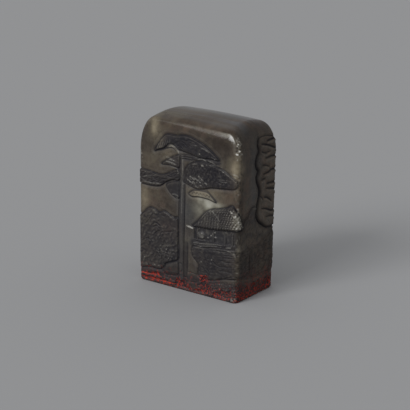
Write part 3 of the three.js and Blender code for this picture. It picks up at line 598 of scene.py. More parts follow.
trunk = [(-1.9, 3.4), (-2.1, 12), (-2, 24), (-1.8, 34), (-1.9, 42), (-2.8, 46.8), (-4.8, 49.2), (-8, 49.6)]
bead("front", trunk, 2.6, 0.12, wear_and_highlight=0.05)
ink("front", trunk[:6], 2.8, 0.55)
ink("front", [(0.1, 17), (0.2, 9), (0, 3.6)], 2.2, 0.6)
for shift, deep in ((-1.25, 0.4), (1.15, 0.4), (-0.35, 0.15), (0.45, 0.2)):
    groove("front", [(x + shift, z) for x, z in trunk[:5]], 0.5 if deep > 0.3 else 0.3, deep, tone=0.95)
groove("front", [(0.6, 17.4), (0.7, 11.6), (0.4, 4.8)], 0.4, 0.3)
bead("front", [(-1.7, 45.5), (-1.5, 42.1), (-1.6, 38.7), (-1.4, 37.2)], 0.6, 0.1, wear_and_highlight=0.35)
bead("front", [(-1.7, 44), (-1.7, 38), (-1.9, 32), (-2, 27)], 0.5, 0.06, wear_and_highlight=0.24)
bead("front", [(-7.7, 48.9), (-6.4, 49.5), (-4.8, 49.3), (-3.8, 48.5), (-3.1, 47.2)], 0.7, 0.12, wear_and_highlight=0.4)
groove("front", [(-13.2, 47.1), (-11, 47.5), (-8.9, 48.4), (-6.8, 49), (-5.4, 48.7), (-4.5, 47.8)], 0.6, 0.4)
bead("front", [(-1.2, 37.7), (0.6, 37.2), (2.3, 36.6)], 0.5, 0.1, wear_and_highlight=0.5)
bead("front", [(-2.1, 39.7), (-4.1, 42), (-7.4, 42.7)], 0.5, 0.15, wear_and_highlight=0.25)
print("the pine's tiers are drawn")

# %% [markdown]
# The needles. In the tip of the crown they are short slanted nicks, beside the trunk they curl in arcs,
# and further out they stand upright in rows.

# %% The pine's needles
for i in range(6):
    x = -12.9 + 0.95 * i
    z = 47.9 + 0.35 * i
    groove("front", [(x, z), (x + 0.55, z + 1.1), (x + 0.8, z + 2.3)], 0.46, 0.2, tone=1.0)
    bead("front", [(x + 0.5, z + 0.2), (x + 1, z + 1.2), (x + 1.25, z + 2.1)], 0.34, 0.06, wear_and_highlight=0.16)
nick("front", scatter(crown, (1.15, 1.0), 5)[::2], 0.2, 1.6, 0.44, 0.16, 12, swing=0.5, tone=1.0)
for reach in (0.9, 1.7, 2.5, 3.3):
    for centre in [(-2.5, 49), (1.4, 49.9)]:
        turns = (0.3, 1.1, 1.9, 2.7)
        arc = [(centre[0] + reach * math.cos(a), centre[1] + 0.75 * reach * math.sin(a)) for a in turns]
        groove("front", arc, 0.45, 0.22)
for row in range(4):
    z = 45.8 + 0.73 * row
    groove("front", [(-2.9 + 0.4 * row, z), (-0.4, z + 0.15), (2.5, z)], 0.42, 0.35)
crown_end = flow([(2.9, 47.4), (2.9, 51.3), (5.8, 50.9), (8.7, 49.2), (11.6, 47.4), (8.7, 46.6)], True)
nick("front", scatter(crown_end, (1.1, 0.9), 6), 1.2, 1.3, 0.4, 0.18, 13, swing=0.5, tone=1.0)
between = flow([
    (-1, 45.6), (-1, 48), (4, 47.4), (9, 47.4), (12.4, 47.1), (13.6, 45.9), (9, 45.6), (4, 45.6),
], True)
ink("front", [(-1, 46.3), (2, 46.7), (6, 46.9), (9.4, 46.7), (12.6, 46.4)], 2.2, 0.66)
nick("front", scatter(between, (1.1, 0.8), 215), 0.25, 1.3, 0.42, 0.16, 215, swing=0.7, tone=1.0)
nick("front", scatter(right_tier, (0.95, 1.3), 7), 1.45, 1.6, 0.42, 0.3, 14, swing=0.3, tone=1.0)
tier_gap = flow([(12.2, 41.6), (17, 41.6), (17.4, 40.1), (12.4, 39.9)], True)
nick("front", scatter(tier_gap, (1.2, 0.6), 8), 0.1, 1.2, 0.34, 0.3, 15, swing=0.2)
nick("front", scatter(left_tier, (1.4, 0.95), 9), 0.35, 1.6, 0.46, 0.3, 16, swing=0.6, tone=1.0)
nick("front", scatter(small_tier, (1.2, 0.8), 10), 0.3, 1.6, 0.3, 0.2, 17, swing=0.2)
nick("front", scatter(low_left_tier, (1.4, 1.2), 18)[::3], 0.9, 1.0, 0.3, 0.15, 18)
for i in range(6):
    x = 2.6 + 1.35 * i
    z = 34.7 - 0.06 * i
    groove("front", [(x, z), (x + 0.55, z + 0.75), (x + 1.2, z + 0.15)], 0.4, 0.25)
print("the needles are cut")

# %% [markdown]
# Handling rubs the needles that stand highest, and there the stone is pale. The pale paint there is partly
# wear and partly a painted highlight, where the needles would glint. Each of these places is a short
# ridge, and the smallest are single spots. They are drawn one by one, since the eye finds the pine's form
# by them.

# %% Worn needles
for line, wear_and_highlight in (
    ([(5.8, 50.6), (7.7, 50.2), (9.2, 49.5)], 0.55), ([(2.3, 50.9), (4.5, 51.1)], 0.3),
    ([(10.3, 48), (12, 47.2)], 0.4), ([(9.5, 45.4), (11, 45.5), (12.8, 45.3)], 0.45),
    ([(13.4, 44.6), (15.5, 43.9), (17.2, 42.8)], 0.4), ([(-8.7, 44.2), (-6.2, 43.9), (-4.3, 43.5)], 0.65),
    ([(-8.1, 45.1), (-5.4, 44.7)], 0.3), ([(-19, 35.9), (-14.5, 35.7), (-11, 36)], 0.35),
    ([(-6.4, 33.1), (-4.6, 33.3), (-3.3, 32.9)], 0.4), ([(-18.4, 37.4), (-16.8, 37.9), (-14.9, 38.3)], 0.3),
    ([(12.6, 41.2), (14.7, 41)], 0.3), ([(14.1, 40.5), (16.5, 40.6)], 0.3),
    ([(3.1, 39.7), (4.1, 39.9), (5, 39.5), (6, 38.9)], 0.6), ([(2.7, 44.7), (4.5, 45)], 0.4),
):
    bead("front", line, 0.5, 0.1, 0.7 * wear_and_highlight)
for line, wear_and_highlight in (
    ([(0.6, 44.4), (1.8, 45.4), (3, 45.9)], 0.4), ([(4.4, 46.5), (6.2, 46.8), (7.8, 46.4)], 0.55),
    ([(8.6, 46.6), (10.2, 46.3), (11.6, 45.6)], 0.4), ([(3.4, 47), (4.8, 47.3)], 0.3),
    ([(12.4, 45.6), (14.4, 45)], 0.3), ([(18.6, 43.6), (19.8, 43.4), (20.5, 42.9)], 0.5),
    ([(18.9, 42.6), (20, 42.4)], 0.3), ([(-8.6, 45.6), (-6.6, 45.2), (-4.6, 44.6)], 0.4),
    ([(0.4, 39.4), (2, 38.6), (3.8, 38)], 0.45),
):
    bead("front", line, 0.42, 0.08, wear_and_highlight)
strokes = flow([(1.2, 38.4), (1.4, 41), (3.6, 41.4), (7.4, 40), (9.6, 38.6), (6.4, 37.6), (3.6, 37.2)], True)
for i, (x, z) in enumerate(scatter(strokes, (1.5, 0.95), 19, 0.4)):
    bead("front", [(x - 0.6, z + 0.15), (x, z + 0.2), (x + 0.5, z - 0.25)], 0.4, 0.08,
         wear_and_highlight=0.24 + 0.3 * (i % 3 == 0))
glints("front", [
    (6.2, 44.9), (6.9, 44.7), (8.3, 45.1), (5.4, 48.5), (2.4, 40.1), (5.2, 41.1), (6.7, 40.9), (-4.1, 32.1),
    (-17.5, 39.2), (-3.5, 40.8), (15, 43.9), (-19.1, 44.1), (11.6, 47.5),
], 0.5, 0.08, 0.8)
glints("front", [(6.5, 44.8), (-3.9, 32)], 0.9, 0.1, 0.9)
# the right tier is worn away towards the near corner
cells, x, _ = part_of_sheet("front", right_tier, 0.5)
for layer, left_over in (("cut", 0.35), ("tone", 0.72)):
    sheet[layer][cells] *= np.interp(x, (15.5, 19.5), (1, left_over))
print("the worn places are laid on the needles")

# %% [markdown]
# The hut has a thatched roof that runs round the corner of the stone, and a recessed wall. The left half
# of the roof is cut in upright strokes and the right half in a net of small scales, which are worn pale
# at the corner and carry painted white highlights there.

# %% The hut's roof and wall
roof = mass("front", [
    (2.6, 23.6), (4.6, 25.6), (7, 28.4), (9.8, 30.5), (13, 31.3), (16.4, 32.2), (18.6, 33.2), (20.2, 31.6),
    (21.6, 29.6), (22.8, 27), (23.4, 25), (20.4, 24.7), (16.4, 24.4), (11.6, 23.8), (6, 23.5),
], HIGH, ((3, 10, 13, 19), (0.5, 0.48, 0.6, 0.48)), edge=0.8, line=0.75, depth=0.3)
wall = np.array([(3.3, 19.4), (3.3, 23.6), (11.6, 23.6), (22.4, 24.8), (22.4, 20)])
wall_cells, x, z = part_of_sheet("front", wall, 1.0)
in_wall = within(np.vstack([wall, wall[:1]]), x, z)
wall_recess = 0.35 * in_wall
stamp("cut", wall_cells, wall_recess)
stamp("tone", wall_cells, 0.76 * in_wall * np.interp(x, (18.5, 21.5), (1, 0.35)))
ink("front", [(3.2, 17.9), (8, 18.2), (14, 18.8), (19.4, 19.2)], 3.6, 0.74)
for i in range(16):
    foot = 4.4 + 0.55 * i
    ridge = 23.9 + min(1.4 + 0.62 * i, 6.2)
    groove("front", [(foot, 23.7), (foot + 0.25, 25.4), (foot + 0.7, ridge)], 0.46, 0.35, 1.0)
    reed = [(foot + 0.3, 24.4), (foot + 0.5, 25.6), (foot + 0.95, ridge - 0.4)]
    bead("front", reed, 0.3, 0.06, wear_and_highlight=0.14 + 0.24 * (i % 2))
for row in range(9):
    for column in range(14):
        x = 11.2 + 1.02 * column + 0.51 * (row % 2) - 0.25 * row
        z = 24.9 + 0.72 * row + 0.1 * column
        if x > 11 + 0.2 * row and x + 0.45 * (z - 25) < 23.2 and z < 30.2 + 0.2 * (x - 11):
            lump("front", x, z, 0.72, 0.62, 0.6, 0.1, wear_and_highlight=0.2 + 0.65 * max(0.0, (x - 15) / 6), sharp=0.7)
nick("front", scatter(roof, (1.02, 0.72), 21, 0.15), 0.75, 0.95, 0.4, 0.3, 21, swing=0.25, tone=1.0)
# pale scales and spots at the roof's corner: partly wear, and the strongest are painted white highlights
for x, z, long, broad, wear_and_highlight in (
    (20.6, 28.3, 3.6, 0.7, 1.0), (20.9, 26.4, 1.8, 0.9, 0.9), (20.9, 31, 1.0, 0.7, 0.8),
    (18.5, 30.9, 0.9, 0.8, 0.7), (20.3, 25.4, 1.8, 0.9, 0.7), (19.9, 30.0, 2.6, 0.6, 1.0),
    (18.3, 31.4, 0.9, 0.8, 1.0), (20.6, 32.2, 1.0, 0.8, 1.0),
):
    lump("front", x, z, broad, long, 0.1, 0.12, wear_and_highlight)
bead("front", [(10.9, 30.2), (12, 29.3), (13, 28.5), (13.7, 27.5)], 0.6, 0.1, wear_and_highlight=0.4)
glints("front", [
    (20.7, 31.2), (21.1, 29.6), (20.6, 28.2), (21.3, 27.3), (18.9, 31), (20.3, 26), (21.2, 25.6),
    (19.4, 29.8),
], 0.75, 0.14, 1.4)
bead("front", [(6.4, 27.3), (8.1, 29.2), (10.1, 30.4)], 0.5, 0.1, wear_and_highlight=0.25)
for line in (
    [(12.6, 30.4), (15.4, 30.9), (19, 31.8)], [(13.4, 29.6), (16.4, 30.2), (19.6, 31)],
    [(14.6, 28.9), (17, 29.4)],
):
    groove("front", line, 0.4, 0.25, tone=0.7)
print("the roof is thatched")

# %% [markdown]
# Under the eaves a deep groove throws the wall into shadow. Posts stand in front of it, with a few worn
# shapes between them, and a railed terrace runs along its foot. Rails and boards are thin ridges between
# grooves.

# %% Under the eaves
groove("front", [(3.5, 23.6), (7.7, 23.4), (11.6, 23.7), (16.5, 24.2), (19.7, 25.1), (23.2, 25.4)], 0.6, 0.45)
for x, low, high, width in (
    (3.8, 19, 23, 0.9), (14.6, 19.4, 23.8, 0.5), (17.5, 19.4, 24.4, 0.75), (7, 19.4, 23.2, 0.3),
):
    groove("front", [(x, low), (x - 0.1, (low + high) / 2), (x, high)], width, 0.35)
for x in (4.7, 11.2, 15.9, 18.8):
    bead("front", [(x, 19.2), (x, 23.6)], 0.8, 0.25, wear_and_highlight=0.08)
for line, width in (
    ([(7.7, 19.6), (9.1, 21.1), (10.6, 22.8)], 0.9), ([(7.9, 19.5), (9.3, 19.9)], 0.6),
    ([(11, 20.7), (11.8, 20.5)], 0.5), ([(12, 23.2), (13.5, 23.4), (15.1, 23.6)], 0.5),
):
    groove("front", line, width, 0.4)
lump("front", 6.2, 21.0, 3.0, 2.6, 0.0, 0.25, wear_and_highlight=0.22)
glints("front", [
    (10.1, 21.6), (11.8, 22.9), (6.4, 21.7), (6.8, 20.5), (12, 21.3), (8.9, 20.7), (10.8, 22.3),
], 0.7, 0.1, 0.5)
scratch("front", scatter(wall, (1.3, 1.0), 212, 0.5), 1.4, 1.3, 0.34, 0.8, 212)
bead("front", [(0.2, 23.3), (1.4, 23.1), (2.8, 22.8)], 0.6, 0.2, wear_and_highlight=0.8)
for line, wear_and_highlight in (
    ([(3.1, 17.9), (7.2, 18.3), (11.6, 19), (14.7, 19.2)], 0.25),
    ([(3.5, 17.3), (6.8, 17.4), (10.6, 18.1), (14.5, 18.4)], 0.12),
    ([(3.5, 16.6), (7.7, 16.7), (12.6, 17.3), (19.4, 17.8), (24.2, 18)], 0.1),
    ([(17, 17.8), (18.6, 17.6)], 0.45), ([(16.5, 18.6), (18.4, 19)], 0.3), ([(5.4, 17), (6.6, 17.3)], 0.5),
    ([(6, 18), (6.8, 18.4)], 0.4),
):
    bead("front", line, 0.6, 0.24, 0.8 * wear_and_highlight)
for line in (
    [(3.1, 16.6), (4.8, 16.8), (7.7, 17), (10.6, 17.6)], [(3.3, 17.6), (6.4, 17.9)],
    [(3.3, 18.7), (7.7, 18.9), (14.5, 19.5)], [(15.9, 16.6), (17.4, 16.8), (19.2, 16.9)],
    [(16.1, 15.9), (17.6, 16.2), (19.4, 16.3)], [(12.8, 18.3), (14.1, 18.4)], [(16.5, 18.3), (19, 18.6)],
    [(3.5, 19.4), (8.7, 19.3), (14.5, 19.7), (20.3, 20.1)], [(15.7, 15.1), (19, 15.5)],
):
    groove("front", line, 0.5, 0.35)
print("the posts and the terrace are cut")

# %% [markdown]
# At the left a leafy bank rises against the ground, with a bush, a stem and a smooth mound in front of
# it. Each leaf is a slim swelling with a small groove beside it.

# %% The leafy bank
bank = mass("front", [
    (-24, 23.2), (-20, 23.8), (-18.4, 24.8), (-17, 26.3), (-15, 27.1), (-12.8, 26.4), (-11.6, 25.9),
    (-9.4, 26.6), (-6.8, 25.6), (-4.8, 24.9), (-3.5, 25), (-3.3, 18), (-3.2, 11.4), (-5.4, 9.4), (-8.4, 8.2),
    (-11, 5.6), (-16, 5.4), (-24, 5.6),
], LOW, ((-20.4, -14, -4), (0.42, 0.58, 0.66)), edge=0.6, line=0.8, depth=0.3, ends=(-FRONT_END, FAR))
draw = np.random.RandomState(31)
for x, z in scatter(bank, (1.75, 1.45), 32, 0.3):
    if z < 21.5 or x < -11:
        slant = 0.75 + 0.5 * math.sin(0.9 * x + 0.7 * z) + 0.3 * draw.randn()
        long = 1.5 + 0.7 * draw.rand()
        lump("front", x, z, long, 0.75, slant, 0.05 + 0.04 * draw.rand(), wear_and_highlight=0.03 + 0.12 * draw.rand() ** 2)
        side_step = np.array([math.sin(slant), -math.cos(slant)]) * 0.5
        reach = np.array([math.cos(slant), math.sin(slant)]) * long / 2
        at = np.array([x, z]) + side_step
        groove("front", [at - reach, at + 0.3 * side_step, at + reach], 0.45, 0.14, tone=1.0)
for line in (
    [(-18, 20.3), (-16.8, 21.7), (-15.3, 23.4)], [(-19, 24.4), (-17.2, 25.4), (-16.1, 26.5)],
    [(-14.5, 26.9), (-13, 26.7), (-12, 25.9), (-11.8, 25)],
    [(-10.5, 27.1), (-8.7, 26.7), (-7.2, 26), (-5.8, 25.5)], [(-6.2, 25.2), (-4.6, 25.5), (-3.3, 25.5)],
    [(-10.5, 25), (-9.1, 24.8)], [(-13.5, 18), (-12.2, 19), (-10.3, 19.9)],
    [(-14.9, 20.9), (-13, 21.9), (-11.2, 21.1)], [(-14.1, 20.3), (-12.6, 20.9), (-11.4, 20.1)],
    [(-9.5, 19.5), (-7.4, 19.7), (-5.2, 20.3)], [(-19.2, 14.5), (-17, 15.7), (-14.7, 15.1)],
):
    groove("front", line, 0.55, 0.35)
for line in (
    [(-9.9, 26.4), (-8.1, 26.1), (-7, 25.5)], [(-6.6, 25.2), (-5.4, 25.1)], [(-13.9, 25.9), (-13, 25.4)],
):
    bead("front", line, 0.7, 0.12, wear_and_highlight=0.1)
nick("front", scatter(bank, (1.15, 0.95), 301), 0.8, 1.3, 0.5, 0.1, 302, swing=1.5, tone=1.0, bend=0.6)
bush = flow([
    (-12.2, 11), (-11.4, 13.9), (-8.7, 15.1), (-5.8, 14.3), (-4.5, 12), (-5.8, 10.5), (-9.3, 9.9),
], True)
for x, z in scatter(bush, (1.15, 1.0), 33):
    lump("front", x, z, 1.0, 0.8, 0.5, 0.12, wear_and_highlight=0.12, sharp=0.6)
nick("front", scatter(bush, (1.15, 1.0), 34), 0.6, 0.8, 0.5, 0.3, 35, swing=0.8)
glints("front", [
    (-8.3, 13.4), (-10.8, 13.2), (-7.5, 10.3), (-11.6, 6.8), (-13.4, 6.8), (-18, 8.7),
], 0.6, 0.1, 0.55)
for line, width in (
    ([(-10.5, 10.3), (-10.5, 7.7), (-10.5, 4.8)], 0.7), ([(-9.7, 9.5), (-9.6, 7.2), (-9.8, 5)], 0.4),
    ([(-9.5, 7.7), (-7.9, 8.5), (-6, 9.6), (-4.3, 10.3)], 0.7), ([(-5.6, 12), (-5, 10.8), (-4.5, 10.5)], 0.6),
):
    groove("front", line, width, 0.4)
mass("front", [(-9.5, 4.6), (-9.3, 7.2), (-7.5, 8.3), (-5.2, 9.5), (-3.5, 9.3), (-3.3, 5.4), (-6.2, 4.5)],
     LOW, 0.55, edge=1.4, line=0.45, depth=0.25)
groove("front", [(-3.2, 9.1), (-2.4, 9.6), (-1.6, 9.1), (-1.5, 7.5), (-2.2, 6.5), (-3.1, 7.2), (-3.2, 9.1)],
       0.45, 0.3)
print("the bank is cut")

# %% [markdown]
# Under the terrace lie rocks, cut as a weave of short pits, and a smooth boulder beside them. The dirt on
# the rocks thins out at the near corner, where hands have rubbed it away.

# %% The rocks under the terrace
rock_tone = ((4, 15, 18.4, 20.4), (0.66, 0.7, 0.55, 0.25))
rocks = mass("front", [
    (2.8, 16.6), (8, 16.9), (14, 17.2), (20.4, 17.6), (24, 17.6), (24, 8.4), (20.4, 8.4), (14.6, 7.4),
    (10.6, 6.2), (5.6, 6.4), (5.2, 10.6), (2.8, 13.2),
], LOW, rock_tone, edge=0.8, line=0.5, depth=0.26, ends=(-FAR, FRONT_END))
for x, z in scatter(rocks, (1.5, 1.3), 36):
    lump("front", x, z, 1.7, 1.2, 0.5 + 0.3 * draw.randn(), 0.03 + 0.03 * draw.rand(), wear_and_highlight=0.02, sharp=0.7)
weave = flow([(5.4, 8.7), (5.4, 14.1), (8.7, 15.5), (13.4, 14.9), (13, 10.6), (8.7, 8.3)], True)
nick("front", scatter(weave, (0.95, 0.85), 37), -0.9, 0.85, 0.5, 0.2, 38, swing=0.4, tone=1.0)
nick("front", scatter(rocks, (1.9, 0.95), 39), 0.15, 1.7, 0.36, 0.15, 40, swing=0.35, tone=1.0)
nick("front", scatter(rocks, (1.05, 0.9), 303), 0.3, 1.0, 0.48, 0.1, 304, swing=1.2, tone=1.0, bend=0.5)
glints("front", [
    (10.5, 12.2), (10.9, 13.5), (11.4, 14.3), (6.6, 12), (20.7, 10.7), (20.9, 16.5), (20.8, 13.4),
], 0.6, 0.1, 0.5)
lump("front", 3.0, 8.6, 4.4, 4.8, 0.0, 0.26, tone=0.3, sharp=0.7)
for line, width in (
    ([(12.6, 6.6), (14.9, 7.4), (17.4, 8.6), (19.7, 9.4)], 0.6),
    ([(11, 6.3), (12.8, 6.7), (13.9, 6.8)], 0.45), ([(0.9, 7.1), (2.5, 7.3), (4.5, 7)], 0.4),
    ([(11.6, 12.6), (14.5, 11.8), (19, 12.6)], 0.35), ([(14.1, 10.3), (16.5, 10.6), (19.4, 10.5)], 0.35),
    ([(14.3, 14.1), (16.6, 13.7), (19.7, 14.3)], 0.35),
):
    groove("front", line, width, 0.35)
for line in (
    [(-19.4, 4.3), (-17, 4.4), (-12, 4.9), (-9.4, 4.6)], [(-19.4, 2.5), (-16, 2.5), (-9, 2.8), (-5, 2.4)],
):
    bead("front", line, 1.1, 0.1, wear_and_highlight=0.02)
print("the rocks are cut")

# %% [markdown]
# Last come the finest marks on the front. The dirt in the foliage and on the rocks isn't even: between
# the cuts there are slivers of clean stone, and the ground beside each shape is scuffed by the tool. They
# are hardly deep at all, but from a step away they are what makes the carving look drawn by hand.

# %% Scuffs and slivers
terrace = np.array([(2.8, 17), (21.5, 17.2), (21.5, 24), (2.8, 24), (2.8, 17)])
for outline, pitch, angle, length, width, share, seed in (
    (crown, (1.9, 0.8), 0.35, 1.7, 0.3, 0.4, 201), (crown, (2.6, 1.3), 1.5, 1.2, 0.3, 0.3, 202),
    (right_tier, (1.7, 1.3), 1.35, 1.5, 0.3, 0.5, 203), (right_tier, (2.6, 1.1), 0.1, 1.6, 0.3, 0.55, 204),
    (left_tier, (1.8, 1.0), 0.25, 1.5, 0.32, 0.6, 205), (small_tier, (1.6, 0.8), 0.35, 1.6, 0.32, 0.7, 206),
    (low_left_tier, (1.6, 1.1), 0.6, 1.1, 0.3, 0.5, 207), (roof, (1.1, 0.9), 1.1, 1.0, 0.32, 0.5, 208),
    (bank, (1.9, 1.2), 0.7, 1.2, 0.38, 0.75, 209), (rocks, (1.7, 1.1), 0.2, 1.4, 0.38, 0.8, 210),
    (terrace, (2.2, 0.9), 0.1, 1.4, 0.32, 0.5, 211),
):
    scratch("front", scatter(outline, pitch, seed, 0.5), angle, length, width, share, seed)
print("the front is scuffed")

# %% [markdown]
# ## The other three sides
# On the right side one deep crack parts a smooth dark face from a cliff with ledges, over a low arch and
# rocks. The back and the left side can't be seen in the picture. They carry the scene on: the cliff comes
# round the corner and falls to rocks beside a small leaning pine, and the bank and the long tier close
# the ring.

# %% The right side
crack = [
    (0.5, 53.4), (-0.4, 51.6), (0, 49.5), (-1, 47.8), (-1.6, 46), (-1, 44.1), (0, 42.8), (-0.9, 41),
    (-0.4, 39.1), (0.8, 36.8), (1, 34.6), (0.1, 31.8), (-0.4, 28.2), (0.6, 26), (2.6, 24.5), (5.8, 22.6),
    (9.8, 22.2), (10.7, 22.2),
]
mass("right", [
    (13.4, 22), (14, 30), (14, 40), (13.4, 52.4), (10.7, 52.8), (8, 53.4), (3.8, 53.9), *crack[:-1],
], LOW, 0.03, edge=0.9, line=0.4, depth=0.2, ends=(-FAR, SIDE_END))
groove("right", crack, 1.1, 0.7, tone=1.0)
ink("right", crack, 1.8, 0.4)
ledges = (
    [(1.6, 51.6), (4.8, 50.9), (8.2, 49.7), (10.2, 48.9)], [(4.8, 52.1), (7.4, 52.3), (10.4, 52.5)],
    [(3.9, 46.5), (6.8, 46.7), (10.6, 46.6), (12.6, 46)],
    [(2.9, 41.3), (5.8, 41.6), (7.7, 42.2), (10.6, 41.9), (12.8, 42)],
    [(4.8, 37.9), (7.7, 37.7), (10.8, 37.5), (13, 37.1)], [(4.8, 36.3), (9.2, 35.3), (10.8, 34.1)],
    [(2.4, 29.8), (4.8, 29.3), (7.7, 28.1), (9.2, 27.9), (12, 28.2)], [(3.6, 33.4), (5.4, 33), (8, 31.4)],
    [(2, 44.6), (4.4, 44.1), (6.2, 43.4)], [(1.4, 49.2), (3.6, 48.4), (6.4, 48.6)],
    [(1.8, 39.6), (3.8, 39.8)], [(1.2, 34.4), (2.6, 33.2), (2.8, 31.6)], [(5, 26.4), (8, 26.2), (11, 25.2)],
)
DEEP_LEDGES = 8  # the first of them are cut wide and deep
for i, line in enumerate(ledges):
    width, depth = (0.9, 0.4) if i < DEEP_LEDGES else (0.6, 0.25)
    groove("right", line, width, depth, tone=1.0)
    bead("right", [(y, z - 0.8) for y, z in line], 0.9, 0.16, wear_and_highlight=0.12)
    ink("right", [(y, z + 0.3) for y, z in line], 1.3, 0.14)
for line in (
    [(-5.6, 27.4), (-4.6, 29.4), (-2.8, 30.6), (-0.6, 30.4)], [(-8.6, 24.8), (-7.4, 26.6), (-5.8, 28)],
):
    bead("right", line, 1.2, 0.25, wear_and_highlight=0.05)
    groove("right", [(y, z + 0.6) for y, z in line], 0.5, 0.3)
rock_tone = ((-10.7, -9, -6), (0.25, 0.36, 0.2))
foot_rocks = mass("right", [
    (-13.6, 17.6), (-10.7, 17.6), (-8, 17.2), (-3.4, 18.8), (0.4, 17.6), (4.2, 19.2), (8, 20.4), (10.7, 20.8),
    (13.6, 20.8), (13.6, 6.4), (10.7, 6.5), (5, 6.2), (-4, 7), (-10.7, 8.4), (-13.6, 8.4),
], LOW, rock_tone, edge=1.6, line=0.5, depth=0.14, rim=0.3, ends=(-SIDE_END, SIDE_END))
for y, z in scatter(foot_rocks, (1.9, 1.6), 41):
    lump("right", y, z, 2.1, 1.5, 0.4 + 0.4 * draw.randn(), 0.08 + 0.08 * draw.rand(), wear_and_highlight=0.03, sharp=0.7)
nick("right", scatter(foot_rocks, (1.7, 1.1), 42), 0.2, 1.7, 0.42, 0.3, 43, swing=0.5)
scree = flow([(-8, 20), (-8, 30), (-1.6, 30), (-1, 24), (4, 22), (3, 19)], True)
nick("right", scatter(scree, (2.2, 1.7), 44), 0.9, 1.8, 0.4, 0.2, 45, swing=0.7, tone=0.7)
groove("right", [(-4.1, 15.4), (-4, 12), (-4.1, 8.7)], 0.8, 0.45)
for y, low, high, width in (
    (-2.9, 9, 15.6, 2.0), (-0.8, 9.4, 14.8, 1.8), (1.4, 10, 15, 1.6), (4.2, 11, 17, 1.4), (-6.6, 10, 17, 1.0),
):
    ink("right", [(y, low), (y + 0.2, (low + high) / 2), (y, high)], width, 0.42)
for line in (
    [(-7.4, 21.6), (-4.4, 22.4), (-1.6, 21.4)], [(-6.8, 26.4), (-4.4, 27), (-2, 26)],
    [(-3.4, 29.6), (-1.6, 28.4), (-1, 25)], [(1.4, 20.8), (4.6, 20.2), (8.4, 21.2)],
):
    ink("right", line, 1.7, 0.34)
for i in range(9):
    y = -8.6 + 0.9 * i
    groove("right", [(y, 52 - 0.8 * i), (y + 0.15, 44), (y - 0.1, 33 + 0.6 * i)], 0.3, 0.06, tone=0.35)
print("the right side is cut")

# %% [markdown]
# The two hidden sides. Each shape that reaches a corner starts at about the height where its neighbour
# ended, and the strokes are those of the front, so that the stone looks carved by one hand all round.

# %% The back and the left side
mass("back", [
    (-23.4, 53), (-20.4, 52.8), (-17.6, 51.6), (-14.6, 48.2), (-13.2, 43), (-14, 37.2), (-11.2, 32),
    (-9.6, 26.4), (-6.4, 21.8), (-12, 21.6), (-20.4, 22.2), (-23.4, 22.2),
], LOW, ((-20.4, -15), (0.1, 0.3)), edge=0.8, line=0.6, depth=0.3, ends=(-FRONT_END, FAR))
for line in (
    [(-19.6, 48.4), (-17.4, 47.6), (-15, 46)], [(-20.6, 43.6), (-17.2, 43), (-14.6, 41.2)],
    [(-20.6, 38.2), (-17.4, 37.2), (-15.4, 35.4)], [(-20.4, 32.6), (-16, 31.4), (-12.6, 29)],
    [(-18.6, 27.4), (-14.6, 26.6), (-11, 24.2)], [(-18.4, 45.8), (-16.4, 44.8)], [(-18.8, 35), (-16.6, 34)],
    [(-17, 29.6), (-14.4, 28.8)], [(-15, 24.4), (-12, 22.8), (-9.4, 22.4)], [(-19, 24), (-16.4, 22.6)],
):
    groove("back", line, 0.7, 0.4)
    bead("back", [(x, z - 0.7) for x, z in line], 0.9, 0.16, wear_and_highlight=0.1)
leaning = [(-13, 27.6), (-8.8, 30.2), (-5.6, 34.6), (-0.6, 36.2), (3.6, 36)]
bead("back", leaning, 1.7, 0.25, wear_and_highlight=0.1)
for shift in (-0.85, 0.75):
    groove("back", [(x - shift * 0.5, z + shift) for x, z in leaning], 0.45, 0.35)
back_tiers = [mass("back", tier, MIDDLE_HEIGHT, 0.7, line=0.7, depth=0.3) for tier in (
    [(-11, 35), (-8.6, 37.8), (-4.2, 39.3), (0.4, 39), (3.2, 37.3), (-0.4, 36.3), (-5.8, 35.8)],
    [(-1.8, 34.4), (2, 37), (6.4, 37.2), (9.8, 35), (6, 34), (2, 33.8)],
    [(-6.8, 30), (-3.8, 32.2), (0.8, 32.6), (4, 30.9), (0.4, 29.7), (-3.6, 29.6)],
)]
for i, tier in enumerate(back_tiers):
    nick("back", scatter(tier, (1.0, 1.2), 51 + i), 1.4, 1.5, 0.5, 0.3, 54 + i, swing=0.4, tone=1.0)
    scratch("back", scatter(tier, (1.6, 1.0), 57 + i), 1.3, 1.5, 0.4, 0.8, 57 + i)
glints("back", [(-6, 38.2), (-1, 38.2), (5.4, 36.2), (-1.6, 31.6), (2.4, 37.2), (-8.4, 36.6)])
for line in ([(-7.6, 36.8), (-4.6, 37.8)], [(3, 35.8), (6.4, 36.2)], [(-4.4, 31.2), (-1, 31.9)]):
    bead("back", line, 0.55, 0.12, wear_and_highlight=0.45)
back_rocks = mass("back", [
    (-23.4, 20.8), (-20.4, 20.8), (-15, 19.8), (-8, 17.6), (-2, 14.2), (4, 12.6), (8, 13.4), (9, 6.2),
    (0, 5.6), (-12, 6), (-20.4, 6.5), (-23.4, 6.5),
], LOW, ((-20.4, -14), (0.3, 0.5)), edge=0.8, line=0.5, depth=0.3, ends=(-FRONT_END, FAR))
for x, z in scatter(back_rocks, (1.9, 1.6), 61):
    lump("back", x, z, 2.1, 1.5, 0.4 + 0.4 * draw.randn(), 0.08 + 0.08 * draw.rand(), wear_and_highlight=0.04, sharp=0.7)
nick("back", scatter(back_rocks, (1.7, 1.1), 62), 0.2, 1.6, 0.42, 0.3, 63, swing=0.5)
